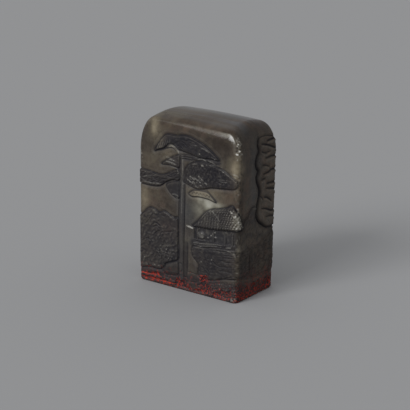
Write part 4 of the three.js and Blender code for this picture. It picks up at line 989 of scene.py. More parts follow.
for side, outline, tone, ends, seed in (
    ("back", [(7.4, 12), (8.4, 19.4), (11.4, 22.8), (14.2, 24.4), (17.2, 23), (20.4, 24.2), (23.4, 24.2),
              (23.4, 5.8), (20.4, 5.8), (9.4, 5.8)], 0.6, (-FAR, FRONT_END), 71),
    ("left", [(-13.6, 24.2), (-10.7, 24.2), (-9.2, 24.4), (-6.4, 26.4), (-3, 27.4), (0, 25.4), (3.2, 26.2),
              (6.6, 24.2), (10.7, 23.8), (13.6, 23.2), (13.6, 5.6), (10.7, 5.5), (4, 5.2), (-4, 5.8),
              (-10.7, 5.8), (-13.6, 5.8)],
     ((-10.7, 4, 10.7), (0.6, 0.65, 0.83)), (-SIDE_END, SIDE_END), 72),
):
    leafy = mass(side, outline, LOW, tone, edge=0.6, line=0.6, depth=0.3, ends=ends)
    for x, z in scatter(leafy, (1.9, 1.6), seed, 0.3):
        slant = 0.8 + 0.5 * math.sin(0.9 * x + 0.7 * z) + 0.4 * draw.randn()
        lump(side, x, z, 1.4 + 0.8 * draw.rand(), 0.8, slant, 0.05 + 0.05 * draw.rand(),
             wear_and_highlight=0.1 * draw.rand())
        at = np.array([x, z]) + np.array([math.sin(slant), -math.cos(slant)]) * 0.5
        reach = np.array([math.cos(slant), math.sin(slant)])
        groove(side, [at - reach, at, at + reach], 0.45, 0.18, tone=1.0)
    places = scatter(leafy, (1.3, 1.1), seed + 230)
    nick(side, places, 0.8, 1.3, 0.45, 0.1, seed, swing=1.5, tone=1.0, bend=0.6)
left_end = mass("left", [
    (2.6, 36.6), (5.6, 38.8), (8.6, 39.7), (10.7, 39.9), (13.6, 40), (13.6, 34.9), (10.7, 34.9), (9.4, 34.8),
    (5.8, 35.2),
], MIDDLE_HEIGHT, ((4, 10.7), (0.7, 0.86)), line=0.6, depth=0.3, ends=(-FAR, SIDE_END))
nick("left", scatter(left_end, (1.2, 0.9), 73), 0.4, 1.5, 0.4, 0.3, 74, swing=0.5)
print("the back and the left side are cut")

# %% [markdown]
# ## Wear and painted sparkles on the near corner
# The upright edges have been handled most. They are rubbed pale in places. At the top of the near corner
# small chips are cut, and white sparkles are painted on and around them as highlights; a few more are
# painted at the foot of that corner.

# %% Chips and rubbed edges
chips = np.random.RandomState(77)
ANY_WAY = 6.3  # a full turn
for outline, pitch, tone, seed in (
    ([(19.2, 29), (22.6, 29), (22.8, 44), (20.6, 44)], (1.1, 1.0), 0.85, 78),
    ([(19.4, 13), (22.8, 13), (22.8, 24), (19.6, 24)], (1.1, 0.8), 0.5, 79),
    ([(22.8, 20), (30.6, 20), (30, 30), (26, 31), (22.8, 26)], (1.3, 1.0), 0.6, 80),
    ([(31.6, 24), (41, 23), (41, 51), (32, 51)], (2.2, 1.5), 0.4, 81),
):
    places = scatter(np.array([*outline, outline[0]], float), pitch, seed, 0.5)
    places = places[chips.rand(len(places)) < 0.7]
    nick("front", places, 0.8, 0.7, 0.45, 0.08, seed, swing=1.6, tone=tone, bend=0.5)
for _ in range(26):
    x = 20.6 + 0.7 * chips.randn()
    z = 46 + 11 * chips.rand() ** 0.6
    angle = ANY_WAY * chips.rand()
    lump("front", x, z, 0.45 + 0.5 * chips.rand(), 0.42, angle, 0.08, wear_and_highlight=0.3 + 0.7 * chips.rand())
    if chips.rand() < 0.5:
        groove("front", [(x - 0.3, z - 0.4), (x + 0.2, z + 0.2)], 0.4, 0.16, tone=0.3)
# painted white sparkles at the foot of the near corner, as highlights
for _ in range(14):
    lump("front", 18.8 + 2.0 * chips.rand(), 0.4 + 1.3 * chips.rand(), 0.45 + 0.4 * chips.rand(), 0.4,
         ANY_WAY * chips.rand(), 0.1, wear_and_highlight=0.9)
for side, x, spots in (("front", 20.9, 26), ("left", 10.9, 12), ("back", -20.9, 8), ("back", 20.9, 8)):
    for _ in range(spots):
        z = 12 + 42 * chips.rand()
        lump(side, x + 0.5 * chips.randn(), z, 0.7 + 2.4 * chips.rand() ** 2, 0.7, 1.57 + 0.2 * chips.randn(),
             0.03, wear_and_highlight=0.12 + 0.2 * chips.rand())
# painted white sparkles as highlights near the top of the near corner, on and around the chips
glints("front", [(20.3, 54.7), (21, 53.3), (20, 52.7), (20.9, 51.2), (19.9, 50.2)], 0.8, 0.14, 1.7)
lump("front", 20.4, 53.9, 1.7, 1.1, 1.2, 0.12, wear_and_highlight=1.8)
for spots, x, off, low, run, long, broad, height, dim, bright in (
    (14, 20.5, 0.5, 49.6, 4.6, 0.5, 0.5, 0.08, 0.5, 0.9), (22, 20.6, 0.6, 31, 13, 0.4, 0.4, 0.05, 0.1, 0.35),
):
    for _ in range(spots):
        lump("front", x + off * chips.randn(), low + run * chips.rand(), 0.5 + long * chips.rand(), broad,
             ANY_WAY * chips.rand(), height, wear_and_highlight=dim + bright * chips.rand())
for x, z in (
    (19.7, 53.8), (21.3, 53.2), (20.5, 52.1), (21.2, 51.6), (19.7, 51.2), (21, 50.2), (20.4, 54.9),
    (19.8, 52.2),
):
    groove("front", [(x - 0.4, z - 0.3), (x, z), (x + 0.4, z + 0.2)], 0.5, 0.15, tone=0.9)
glints("front", [(-19.4, 45.4), (-19.8, 46.2)], 0.7, 0.1, 0.8)
print("the corners are worn")

# %% [markdown]
# ## The foot: paste hollows and red stain
# When a seal is pressed into its paste, some creeps up the sides and dries in the carving. The thick
# deposits lie in shallow hollows of the same outlines as the CAD solids, and between them the stone is
# only stained, in fine grains that thin out upwards. The stain is its own layer, so the finish can turn
# red where it says.

# %% Where the paste lies
HOLLOW_DEPTH = 0.36
HOLLOW_MARGIN = 0.15  # the hollow is wider than its deposit by this much all round
HOLLOW_SLOPE = 0.45
deposits = {
    "paste_front_upper_streak": ("front", [
        (-18.4, 3.1), (-15, 3.5), (-12.6, 4.1), (-11.2, 3.7), (-12.4, 3.1), (-15.4, 2.9)]),
    "paste_front_lower_streak": ("front", [
        (-18.6, 1.6), (-13.6, 1.9), (-10, 2.1), (-6.8, 1.9), (-10, 1.4), (-14.4, 1), (-18.2, 1)]),
    "paste_front_pine_foot": ("front", [
        (-4.6, 0.9), (-4.4, 2.6), (-3.4, 4), (-2.2, 3.2), (-0.8, 3.8), (-0.4, 2), (1.8, 1.6), (1.6, 0.8),
        (-1.6, 0.9)]),
    "paste_front_rock_foot": ("front", [
        (3.6, 0.9), (4.6, 1.8), (6.6, 2.2), (6.4, 4.4), (6.6, 6.2), (8.6, 7.2), (9.2, 5.8), (8.4, 4.6),
        (10.4, 3.6), (10.2, 2), (8.2, 0.9)]),
    "paste_front_corner": ("front", [
        (11.6, 1), (12, 2.4), (14, 2.8), (14.8, 4), (16.4, 3.4), (18.4, 4.3), (18.6, 2.4), (17, 0.9),
        (14.2, 1.2)]),
    "paste_right_near": ("right", [
        (-8.6, 1), (-8.8, 2.8), (-7, 3.6), (-5, 4.8), (-4.2, 3.4), (-4.6, 1.2), (-6.4, 0.9)]),
    "paste_right_middle": ("right", [
        (-3.2, 1), (-3, 3.2), (-1.2, 5), (0.6, 4.4), (2, 5.2), (3, 3.2), (2.6, 1.2), (0, 0.9)]),
    "paste_right_far": ("right", [
        (4.2, 1), (4.4, 3.4), (6, 4.6), (8.6, 4.2), (8.8, 2.2), (7.6, 0.9), (6, 1.2)]),
    "paste_back_foot": ("back", [
        (-9.8, 1), (-9.6, 2.6), (-6.2, 3.2), (-2.4, 2.4), (1.8, 3), (5.4, 2.4), (5.2, 1.2), (0, 0.9),
        (-5, 1.1)]),
    "paste_left_foot": ("left", [
        (-2.8, 1), (-2.6, 2.4), (1, 3.2), (4.6, 4.4), (8.4, 4.2), (8.6, 1.8), (5.2, 1), (1, 1.2)]),
}
for side, drawn in deposits.values():
    outline = flow(drawn, closed=True)
    cells, x, z = part_of_sheet(side, outline, 1.0)
    gap, _ = away_from(outline, x, z)
    deep = np.where(within(outline, x, z), gap + HOLLOW_MARGIN, HOLLOW_MARGIN - gap)
    hollow = HOLLOW_DEPTH * np.clip(deep / HOLLOW_SLOPE, 0, 1)
    sheet["cut"][cells] = np.where(deep > 0, hollow, sheet["cut"][cells])
    sheet["raised"][cells] *= np.clip(1 - deep / HOLLOW_MARGIN, 0, 1)
    stamp("stain", cells, 0.25 * np.clip(1 + 1.2 * deep, 0, 1))
    stamp("tone", cells, (0.85 if side == "front" else 0.5) * np.clip(1 + 1.2 * deep, 0, 1))
print(len(deposits), "hollows for paste")

# %% [markdown]
# Each side then gets scratches, a wash of old dirt, a thin film of red and a great many red grains, fewer
# and weaker upwards. The front has been wiped, so its film is thin, and what is left of the paste there
# lies in lines that are drawn one by one.

# %% Scratches and stain along the foot
SCRATCHES = 13  # for each millimetre of half a side
dust = np.random.RandomState(81)
for side, half, dirt, reach, wash, specks, strength in (
    ("front", 20.4, 0.74, 7.0, 0.12, 40, 1.0), ("right", 10.6, 0.12, 10.0, 0.9, 105, 1.0),
    ("back", 20.4, 0.12, 10.0, 0.9, 105, 0.8), ("left", 10.6, 0.12, 10.0, 0.9, 105, 0.8),
):
    for _ in range(int(SCRATCHES * half)):
        x = half * (2 * dust.rand() - 1)
        z = 0.6 + 5.6 * dust.rand() ** 1.7
        line = [(x - 0.6 - dust.rand(), z - 0.1), (x + 0.6 + dust.rand(), z + 0.25)]
        groove(side, line, 0.32, 0.16, tone=0.6)
    ink(side, [(-half - 1, 2.6), (0, 2.8), (half + 1, 3.2)], 9.4, dirt)
    cells, _, up = part_of_sheet(side, np.array([[-half, 0.3], [half, reach]]), 0.0)
    stamp("stain", cells, wash * np.clip(1 - up / reach, 0, 1) ** 1.5)
    for _ in range(int(specks * half)):
        x = half * (2 * dust.rand() - 1)
        z = 0.3 + reach * dust.rand() ** 1.6
        size = 0.26 + 0.45 * dust.rand() ** 2
        cells, beside, up = part_of_sheet(side, np.array([[x, z]]), size)
        spot = np.clip(1 - (np.hypot((beside - x) / 1.25, up - z) / (size / 2)) ** 2, 0, 1)
        stamp("stain", cells, strength * (0.35 + 0.65 * dust.rand()) * spot ** 0.7 * (1 - z / (reach + 2)))
corner_net = np.array([(9, 0.8), (21.4, 0.8), (21.4, 7.6), (16, 6.6), (10, 5), (9, 0.8)])
for i, (x, z) in enumerate(scatter(corner_net, (0.95, 0.72), 82, 0.2)):
    lump("front", x, z, 0.62, 0.5, 0.4, 0.07, wear_and_highlight=(0.08, 0.3, 0.16)[i % 3], sharp=0.6)
for line, width, strength in (
    ([(-19.6, 4.9), (-17.6, 5.4), (-16, 5.8)], 0.7, 0.3),
    ([(-19.4, 2.8), (-16, 2.9), (-13, 3.1), (-11.4, 3.3)], 0.66, 1.0),
    ([(-15.4, 3.6), (-13.4, 3.8), (-12, 3.5)], 0.45, 1.0),
    ([(-17.4, 2.3), (-13, 2.4), (-8.4, 2.3)], 0.4, 0.7),
    ([(-19.2, 1.5), (-14, 1.7), (-9, 1.5), (-3.4, 1.6)], 0.7, 1.0), ([(-18.8, 0.9), (-14, 0.8)], 0.4, 0.9),
    ([(-3.6, 1), (-3.4, 2.6)], 0.55, 1.0), ([(-0.9, 1), (-1, 2.2)], 0.45, 0.95),
    ([(-10, 2.6), (-5, 2.2), (-1, 2.4)], 0.35, 0.6), ([(9, 1.4), (12, 1.2), (17, 1.4)], 0.4, 0.7),
    ([(-2.9, 0.8), (-2.8, 3.4)], 0.8, 0.9), ([(-2.3, 0.8), (-2.2, 3.6)], 0.5, 0.8),
    ([(5.8, 0.9), (8.7, 1.2)], 0.6, 0.8), ([(1.0, 0.8), (1.4, 1.7), (0.4, 1.6)], 0.5, 0.7),
    ([(6.4, 7.1), (7.2, 7)], 0.6, 0.9), ([(8.4, 7.3), (9.2, 7.2)], 0.6, 0.9),
    ([(7.8, 5.8), (8.8, 5.6)], 0.6, 1.0), ([(6, 5.7), (6.8, 5.6)], 0.6, 0.6), ([(1, 7), (3, 7.3)], 0.4, 0.35),
    ([(-6.6, 3.2), (-4.6, 3.6)], 0.8, 0.3),
):
    line = flow(line)
    cells, x, z = part_of_sheet("front", line, width)
    gap, _ = away_from(line, x, z)
    stamp("stain", cells, strength * np.clip(1.6 * (1 - gap / (width / 2)), 0, 1))
print("the foot is scratched and stained")

# %% [markdown]
# Rubbing and soft stone blunt every edge a little, so the finished layers are blurred by a fraction of a
# millimetre. The edges that stay sharp enough to catch light are the outlines. Fine chisel marks go over
# everything that was cut, and none over the polished ground. What the knife cut can't be rubbed bright,
# but the wall of the hut can, though it is sunk. The last layer says where the stone is matte: in and
# beside the cuts.

# %% Blunt the edges
def blur(layer, reach):
    """A soft blur of a few cells, round the sheet and up it."""
    size = max(int(reach / CELL), 1)
    kernel = np.hanning(2 * size + 3)[1:-1]
    kernel /= kernel.sum()
    out = sum(w * np.roll(layer, i - size, axis=1) for i, w in enumerate(kernel))
    padded = np.pad(out, ((size, size), (0, 0)), mode="edge")
    return sum(w * padded[i:i + ROWS] for i, w in enumerate(kernel))


HIGHEST = 0.58  # nothing stands out further than this
MARK_ROWS, MARK_COLUMNS, MARK_DEPTH = 3, 5, 0.05  # a chisel mark in cells of the sheet, and in millimetres
chisel = np.random.RandomState(91).rand(ROWS // MARK_ROWS + 1, COLUMNS // MARK_COLUMNS)
chisel = np.repeat(np.repeat(chisel, MARK_ROWS, axis=0)[:ROWS], MARK_COLUMNS, axis=1) - 0.5
worked = np.clip(sheet["tone"] * 1.5, 0, 1)
shallower = 1 - 0.25 * (sheet["raised"] > 0.05)  # a cut in a raised shape
relief = np.minimum(sheet["raised"], HIGHEST) - sheet["cut"] * shallower
relief = blur(relief, 0.1) + MARK_DEPTH * blur(chisel, 0.12) * worked
knife = sheet["cut"].copy()
knife[wall_cells] -= wall_recess
sheet["wear_and_highlight"] *= 1 - 0.75 * np.clip(knife / 0.2, 0, 1)
matte = np.maximum(sheet["tone"], 1.5 * sheet["cut"])
for shift in (-6, 6, -3, 3):
    for axis in (0, 1):
        matte = np.maximum(matte, np.roll(matte, shift, axis=axis))
sheet["matte"] = blur(np.clip(matte, 0, 1), 0.25) * (1 - np.clip(1.6 * sheet["wear_and_highlight"], 0, 1))
for layer, reach in (("tone", 0.12), ("wear_and_highlight", 0.1), ("stain", 0.08)):
    sheet[layer] = blur(sheet[layer], reach)


def read_sheet(layer, u, z):
    """The value of a layer at places round the stone, between its cells."""
    column = (u / CELL - 0.5) % COLUMNS
    row = np.clip(z / CELL - 0.5, 0, ROWS - 1.001)
    c0, r0 = np.floor(column).astype(int), np.floor(row).astype(int)
    fc, fr = column - c0, row - r0
    c1 = (c0 + 1) % COLUMNS
    c0 = c0 % COLUMNS
    return ((layer[r0, c0] * (1 - fc) + layer[r0, c1] * fc) * (1 - fr)
            + (layer[r0 + 1, c0] * (1 - fc) + layer[r0 + 1, c1] * fc) * fr)


print(f"the carving runs from {relief.min():.2f} to {relief.max():.2f} mm")

# %% [markdown]
# ## The printing face
# Under the stone is the face that prints. The real one is hidden, so it carries a plain fret: a raised
# frame and one raised line that curls into a square spiral at each end. Its sizes are those of the CAD
# model.

# %% The fret
PRINT_DEPTH, PRINT_BORDER, PRINT_STROKE, PRINT_HOLLOW = 1.0, 1.6, 1.5, 1.5
WALL_SLOPE = 0.2  # how wide the steep walls of the fret are
frame_x = HALF_WIDTH - BASE_EASE - PRINT_BORDER
frame_y = HALF_DEPTH - BASE_EASE - PRINT_BORDER


def fret_corners():
    """The corners of one arm of the fret, from the middle outwards and in again."""
    pitch = PRINT_STROKE + PRINT_HOLLOW
    out_x = frame_x - PRINT_HOLLOW - PRINT_STROKE / 2
    out_y = frame_y - PRINT_HOLLOW - PRINT_STROKE / 2
    corners = [(0, 0), (0, out_y)]
    turn = 0
    while out_y - turn * pitch > 0:
        right, top = out_x - turn * pitch, out_y - turn * pitch
        left = (turn + 1) * pitch
        corners += [(right, top), (right, -top), (left, -top), (left, max(top - pitch, -top))]
        turn += 1
    return np.array(corners)


def fret_depth(x, y):
    """How deep the printing face is cut at each place."""
    in_frame = np.minimum(frame_x - np.abs(x), frame_y - np.abs(y))
    arm = fret_corners()
    gap = np.full(x.shape, 1e9)
    for sign in (1, -1):
        for a, b in zip(arm[:-1] * sign, arm[1:] * sign):
            low, high = np.minimum(a, b), np.maximum(a, b)
            away = np.maximum(np.maximum(low[0] - x, x - high[0]), np.maximum(low[1] - y, y - high[1]))
            gap = np.minimum(gap, away - PRINT_STROKE / 2)
    return PRINT_DEPTH * np.clip(0.5 + np.minimum(in_frame, gap) / WALL_SLOPE, 0, 1)


print("the fret has", 2 * (len(fret_corners()) - 1), "bars")

# %% [markdown]
# ## Carve the block
# Where a cell of the block spans a cut or an edge, its sides are divided in two, and twice over on the
# front, which is looked at from closest. Then all points go to the rubbed form, and each moves out or in
# along its own normal by what the sheet says. On the polished ground the cells stay large, and the stone
# stays smooth.

# %% Where each point lies on the sheet
HAIR = 1e-4  # points this near a face of the plain box are on it


def place_on_sheet(box, points):
    """The place round the stone, the place up it, and which points are on the sides."""
    on_front, on_back = box[:, 1] < -HALF_DEPTH + HAIR, box[:, 1] > HALF_DEPTH - HAIR
    on_left, on_right = box[:, 0] < -HALF_WIDTH + HAIR, box[:, 0] > HALF_WIDTH - HAIR
    share_x = np.clip(1 - (HALF_WIDTH - np.abs(box[:, 0])) / UPRIGHT_RADIUS, 0, 1)
    share_y = np.clip(1 - (HALF_DEPTH - np.abs(box[:, 1])) / UPRIGHT_RADIUS, 0, 1)
    arc_x = UPRIGHT_RADIUS * (np.arcsin(share_x / math.sqrt(2)) - share_x / math.sqrt(2))
    arc_y = UPRIGHT_RADIUS * (np.arcsin(share_y / math.sqrt(2)) - share_y / math.sqrt(2))
    x = points[:, 0] + np.sign(points[:, 0]) * arc_x
    y = points[:, 1] + np.sign(points[:, 1]) * arc_y
    u = np.where(on_right, QUARTER + y, -QUARTER - y)
    u = np.where(on_front, x, np.where(on_back, 2 * QUARTER - x, u))
    return u, points[:, 2], on_front | on_back | on_left | on_right


def coordinates(mesh):
    """The points of a mesh as an array."""
    flat = np.empty(len(mesh.verts) * 3)
    for i, vertex in enumerate(mesh.verts):
        flat[3 * i:3 * i + 3] = vertex.co
    return flat.reshape(-1, 3)


def carving_at(box, points):
    """How far the surface stands out at each point: the sheet on the sides, the fret on the foot."""
    u, z, on_sides = place_on_sheet(box, points)
    out = np.where(on_sides, read_sheet(relief, u, z), 0.0)
    on_foot = (box[:, 2] < HAIR) & ~on_sides
    return np.where(on_foot, -fret_depth(points[:, 0], points[:, 1]), out)


def divide_where_carved(mesh, step, wanted):
    """Divides the cells whose corners or middle differ by more than a step in height."""
    mesh.verts.index_update()
    box = coordinates(mesh)
    faces = [face for face in mesh.faces if wanted(face)]
    corners = np.array([[v.index for v in (list(face.verts) * 2)[:4]] for face in faces])
    tests = [box[corners].mean(1)]
    for i in range(4):
        tests.append(box[corners[:, i]])
        tests.append((box[corners[:, i]] + box[corners[:, (i + 1) % 4]]) / 2)
    heights = np.array([carving_at(test, rub_round(test)) for test in tests])
    busy = heights.max(0) - heights.min(0) > step
    edges = {edge for face, carve in zip(faces, busy) if carve for edge in face.edges}
    bmesh.ops.subdivide_edges(mesh, edges=list(edges), cuts=1, use_grid_fill=True, use_single_edge=True)
    print(f"{int(busy.sum())} cells divided, {len(mesh.faces)} now")


STEP_ROUND, STEP_FRONT = 0.04, 0.12  # mm
divide_where_carved(stone_mesh, STEP_ROUND, lambda face: face.normal.z < 0.5)
divide_where_carved(stone_mesh, STEP_FRONT, lambda face: face.normal.y < -0.5)

# %% [markdown]
# The plain box goes to its rubbed form first, because the normals that the carving follows are the
# normals of that form. The points of the foot move straight up into the stone.

# %% Move the points
FOOT_FADE = 0.6  # the carving of the sides fades out over this much above the foot


def move_points(mesh, places):
    for vertex, place in zip(mesh.verts, places):
        vertex.co = place


stone_mesh.verts.index_update()
box_points = coordinates(stone_mesh)
rubbed = rub_round(box_points)
move_points(stone_mesh, rubbed)
bmesh.ops.recalc_face_normals(stone_mesh, faces=stone_mesh.faces)
stone_mesh.normal_update()
normals = np.array([vertex.normal for vertex in stone_mesh.verts])
around, up, on_sides = place_on_sheet(box_points, rubbed)
on_foot = (box_points[:, 2] < HAIR) & ~on_sides
normals[on_foot] = (0, 0, -1)
height = carving_at(box_points, rubbed)
height = np.where(on_sides, height * np.clip(rubbed[:, 2] / FOOT_FADE, 0, 1), height)
move_points(stone_mesh, lean(rubbed + normals * height[:, None]) * MM)
stone = add_mesh_object("stone", stone_mesh)
stone.data.polygons.foreach_set("use_smooth", [True] * len(stone.data.polygons))
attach(stone, "root")
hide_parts("stone_body")
print("triangles:", sum(len(p.vertices) - 2 for p in stone.data.polygons))

# %% [markdown]
# ## What the finish needs to know
# The layers of the sheet go onto the stone's points as attributes, so the material can read where it is
# cut, worn or stained at full sharpness without any picture file. Five more hold the soft clouds in the
# stone itself: olive, pale, rust, umber and slate blue. They are rounded clouds in space, so they pass
# through the edges of the block as real veins do, except some olive ones on the near upright corner,
# which are a painted glow of light on that edge. One more, the crest, is high where the stone faces up.
# Along the long edge between the front and the top, a thin painted highlight goes into the worn layer,
# where that edge faces the lamp's reflection, most of all near the right shoulder.

# %% Attributes for the finish
def add_attribute(name, values):
    data = stone.data.attributes.new(name, "FLOAT", "POINT").data
    data.foreach_set("value", np.clip(values, 0, 1).astype(np.float32))
    print(f"{name}: {values.mean():.3f} on average")


def clouds(places):
    """Soft clouds: middle x, y, z, reach in x, y, z, and strength."""
    total = np.zeros(len(rubbed))
    for *middle, reach_x, reach_y, reach_z, strength in places:
        gap = ((rubbed - middle) / (reach_x, reach_y, reach_z)) ** 2
        total = np.maximum(total, strength * np.exp(-gap.sum(1)))
    return total


# The worn line below is a painted highlight with some wear: it is laid where the front-top edge faces the
# lamp's reflection.
RIDGE_FACING = 0.885  # how far the worn line of the edge faces the front, 0 to 1
RIDGE_FOOT, RIDGE_FADE = 53.2, 1.2  # mm
ridge_width = np.interp(rubbed[:, 0], (4, 17), (0.015, 0.028))
on_ridge = np.exp(-((-normals[:, 1] - RIDGE_FACING) / ridge_width) ** 2) * (normals[:, 2] > 0.15)
ridge_highlight = 1.25 * on_ridge * np.clip((rubbed[:, 2] - RIDGE_FOOT) / RIDGE_FADE, 0, 1)
ridge_highlight *= np.interp(rubbed[:, 0], (-14, 5, 11, 15, 17, 19.6, 20.6), (0.1, 0.16, 0.4, 0.86, 1.0, 1.0, 0.3))
beyond_sides = {
    "tone": on_foot * np.clip(fret_depth(rubbed[:, 0], rubbed[:, 1]), 0, 1), "wear_and_highlight": ridge_highlight,
    "stain": on_foot * 0.75, "matte": 0.0,
}
for layer, elsewhere in beyond_sides.items():
    add_attribute(layer, np.maximum(read_sheet(sheet[layer], around, up) * on_sides, elsewhere))
# the olive clouds on the near upright corner, at x about 20 and y about -11, are a painted glow of light on
# that edge; the others are clouds in the stone
add_attribute("olive", clouds([
    (-13.6, -10, 55, 1.7, 4, 3.4, 1.0), (-11.4, -11, 51, 1.6, 4, 2.2, 0.5),
    (-7.6, -11, 46.6, 4, 4, 2.2, 0.25), (-10, 0, 60, 9, 9, 3, 0.16), (6.8, -11, 35.4, 5, 4, 1.5, 0.9),
    (12.6, -11, 35.8, 3.5, 4, 2, 0.35), (4, -11, 34.6, 2.5, 4, 1.6, 0.7), (17.2, -11, 35.6, 3.4, 3, 3, 0.1),
    (-18.2, -11, 30.4, 2.2, 4, 4, 0.55), (-16, -11, 44, 3, 4, 3, 0.15), (20.4, -11, 46, 1.4, 1.6, 8, 0.62),
    (20.4, -11, 27.6, 1.6, 1.6, 3, 0.6), (-16, -6, 58, 4, 6, 2, 0.35), (21, -10.4, 19, 1.2, 1.4, 5, 0.3),
    (4, 6, 38, 6, 6, 4, 0.4), (-12, 11, 30, 6, 6, 6, 0.5), (-20, 2, 44, 5, 5, 5, 0.35),
    (20.8, 5.5, 29, 3, 4, 8, 0.14), (20.8, 7, 47, 3, 4, 7, 0.12), (20.8, -4, 20, 3, 5, 5, 0.1),
    (20.8, 3, 12, 3, 7, 5, 0.08), (19.7, -11, 45, 1.9, 3, 3.2, 1.0), (21, -10.6, 14, 1.3, 1.6, 9, 0.3),
    (20.8, -4, 40, 3, 4, 10, 0.08),
]))
add_attribute("pale", clouds([
    (9.2, -11, 32.2, 2.6, 4, 1.9, 1.0), (12.6, -11, 32.2, 2.4, 4, 1.2, 0.55), (6, -11, 33, 1.6, 4, 1.8, 0.5),
    (5.4, -11, 30, 2.2, 4, 2.4, 0.34), (-7, 0, 60, 14, 9, 3, 0.07), (20.8, 5, 36, 3, 6, 22, 0.05),
    (12.6, -8, 58.8, 5, 1.3, 1.6, 0.14), (20.6, -11, 28, 1.2, 1.6, 2.4, 0.5), (-8, 11, 38, 3, 4, 2.4, 0.6),
    (-21, 4, 50, 3, 3, 3, 0.4),
]))
add_attribute("crest", np.clip((normals[:, 2] - 0.5) * 2, 0, 1))
add_attribute("rust", clouds([
    (-4, -10, 56, 7, 4, 2.2, 0.6), (8, -10, 56.5, 7, 4, 2, 0.5), (-8, -11, 21, 5, 5, 3, 0.5),
    (16.8, -11, 37, 4, 4, 4, 0.45), (-13, -11, 30, 4, 4, 4, 0.3), (20, 4, 14, 5, 6, 6, 0.35),
    (20.8, -10.4, 37, 1.6, 2, 7, 0.9), (15, 0, 58, 5, 7, 3, 0.7), (2, 11, 42, 8, 5, 6, 0.5),
    (20.8, 6, 40, 3, 6, 18, 1.0), (20.8, -5, 36, 3, 5, 16, 0.8), (20.8, 2, 14, 3, 9, 8, 0.8),
]))
add_attribute("umber", clouds([
    (13.6, -11, 53.2, 5.5, 4, 3.4, 0.85), (20.8, -4.5, 50, 3, 5.5, 8, 0.2), (20.8, -4.5, 24, 3, 5, 8, 0.15),
    (17.5, 2, 57, 4, 8, 3, 0.6), (15.6, -9.4, 56.8, 4, 1.8, 1.8, 0.8), (14, -11, 12, 9, 4, 6, 0.5),
    (-6, 11, 50, 12, 4, 6, 0.5), (20.8, 6, 12, 3, 6, 7, 0.3),
]))
add_attribute("slate", clouds([
    (1, -11, 28, 4, 5, 7, 0.7), (-3, -11, 33, 3, 5, 5, 0.5), (2, -11, 20, 4, 5, 5, 0.4),
    (16, -11, 20, 4, 5, 3, 0.35), (14, 9, 22, 6, 5, 8, 0.5), (20.8, -2.4, 40, 3, 2.4, 14, 0.8),
    (9.6, 2.4, 60, 6, 3, 3, 0.8), (17, -5.6, 57.4, 4, 2.6, 3, 0.8), (13, -11, 21.5, 10, 3, 2.4, 0.6),
]))

# %% [markdown]
# ## The stone's finish
# Polished soapstone is dark and a little waxy, with clouds that run from grey-brown to olive, and fine
# pale grains. What is carved is left rough and holds old ink and dirt, so it is blue-black. Raised edges
# are worn pale, and painted highlights ride on the same layer; where it is strongest a white sparkle is
# painted on as a highlight. The foot is stained red in a film that is broken where it is thin. The
# colours are laid one over the other, each through noise in the stone's own space.

# %% Colours of the stone
# the polished stone, its clouds and its grains
GROUND = (0.041, 0.033, 0.026, 1)
DEEP = (0.021, 0.017, 0.014, 1)
LIGHT = (0.070, 0.057, 0.044, 1)
MOTTLE = (0.074, 0.067, 0.046, 1)
OLIVE = (0.200, 0.175, 0.120, 1)
PALE = (0.290, 0.290, 0.230, 1)
BLUE_BAND = (0.080, 0.080, 0.088, 1)
BROWN_BAND = (0.060, 0.042, 0.028, 1)
RUST = (0.080, 0.047, 0.033, 1)
UMBER = (0.020, 0.014, 0.011, 1)
SLATE = (0.040, 0.043, 0.047, 1)
BEDDING = (0.085, 0.075, 0.064, 1)
GRAIN = (0.25, 0.24, 0.22, 1)
# what a hand has done to it, and the painted highlights laid with the wear
CUT = (0.0042, 0.0034, 0.0084, 1)
WORN_AND_HIGHLIGHT = (0.40, 0.39, 0.34, 1)
PAINTED_SPARKLE = (0.80, 0.78, 0.72, 1)
STAINED = (0.35, 0.028, 0.019, 1)
DULL_STAIN = (0.075, 0.012, 0.011, 1)


def add_noise(tree, coordinates, scale, detail=4.0, rough=0.55, low=0.0, high=1.0, bend=0.0):
    """Noise between two levels of its own range, stretched to 0 to 1."""
    noise = add_node(tree, "ShaderNodeTexNoise", {
        "Vector": coordinates, "Scale": scale, "Detail": detail, "Roughness": rough, "Distortion": bend})
    return add_node(tree, "ShaderNodeMapRange", {
        "Value": noise.outputs["Fac"], "From Min": low, "From Max": high}).outputs["Result"]


def stretch(tree, coordinates, scale):
    """Coordinates scaled by axis, so that noise in them runs in bands."""
    return add_node(tree, "ShaderNodeMapping", {"Vector": coordinates, "Scale": scale}).outputs["Vector"]


def mix_colour(tree, share, first, second):
    return add_node(tree, "ShaderNodeMix", {0: share, 6: first, 7: second}, data_type="RGBA").outputs[2]


def figure(tree, operation, first, second, third=None, clamp=False):
    """A sum with up to three numbers or sockets. MULTIPLY_ADD is first * second + third."""
    inputs = {0: first, 1: second}
    if third is not None:
        inputs[2] = third
    return add_node(tree, "ShaderNodeMath", inputs, operation=operation, use_clamp=clamp).outputs[0]


def lay_over(tree, colour, cover, strength, above):
    """A colour laid over another, through a cover times a strength."""
    return mix_colour(tree, figure(tree, "MULTIPLY", cover, strength), colour, above)


def attribute(tree, name):
    return add_node(tree, "ShaderNodeAttribute", attribute_name=name).outputs["Fac"]


print("the polished ground reflects", GROUND[:3], "and the cuts", CUT[:3])

# %% [markdown]
# First come the clouds, bands and grains of the polished stone, then the dirt, the wear with its painted
# highlights and white painted sparkles, and the red film on it. Roughness follows the same covers: the
# ground is nearly a mirror, and the cuts and the film are dull.

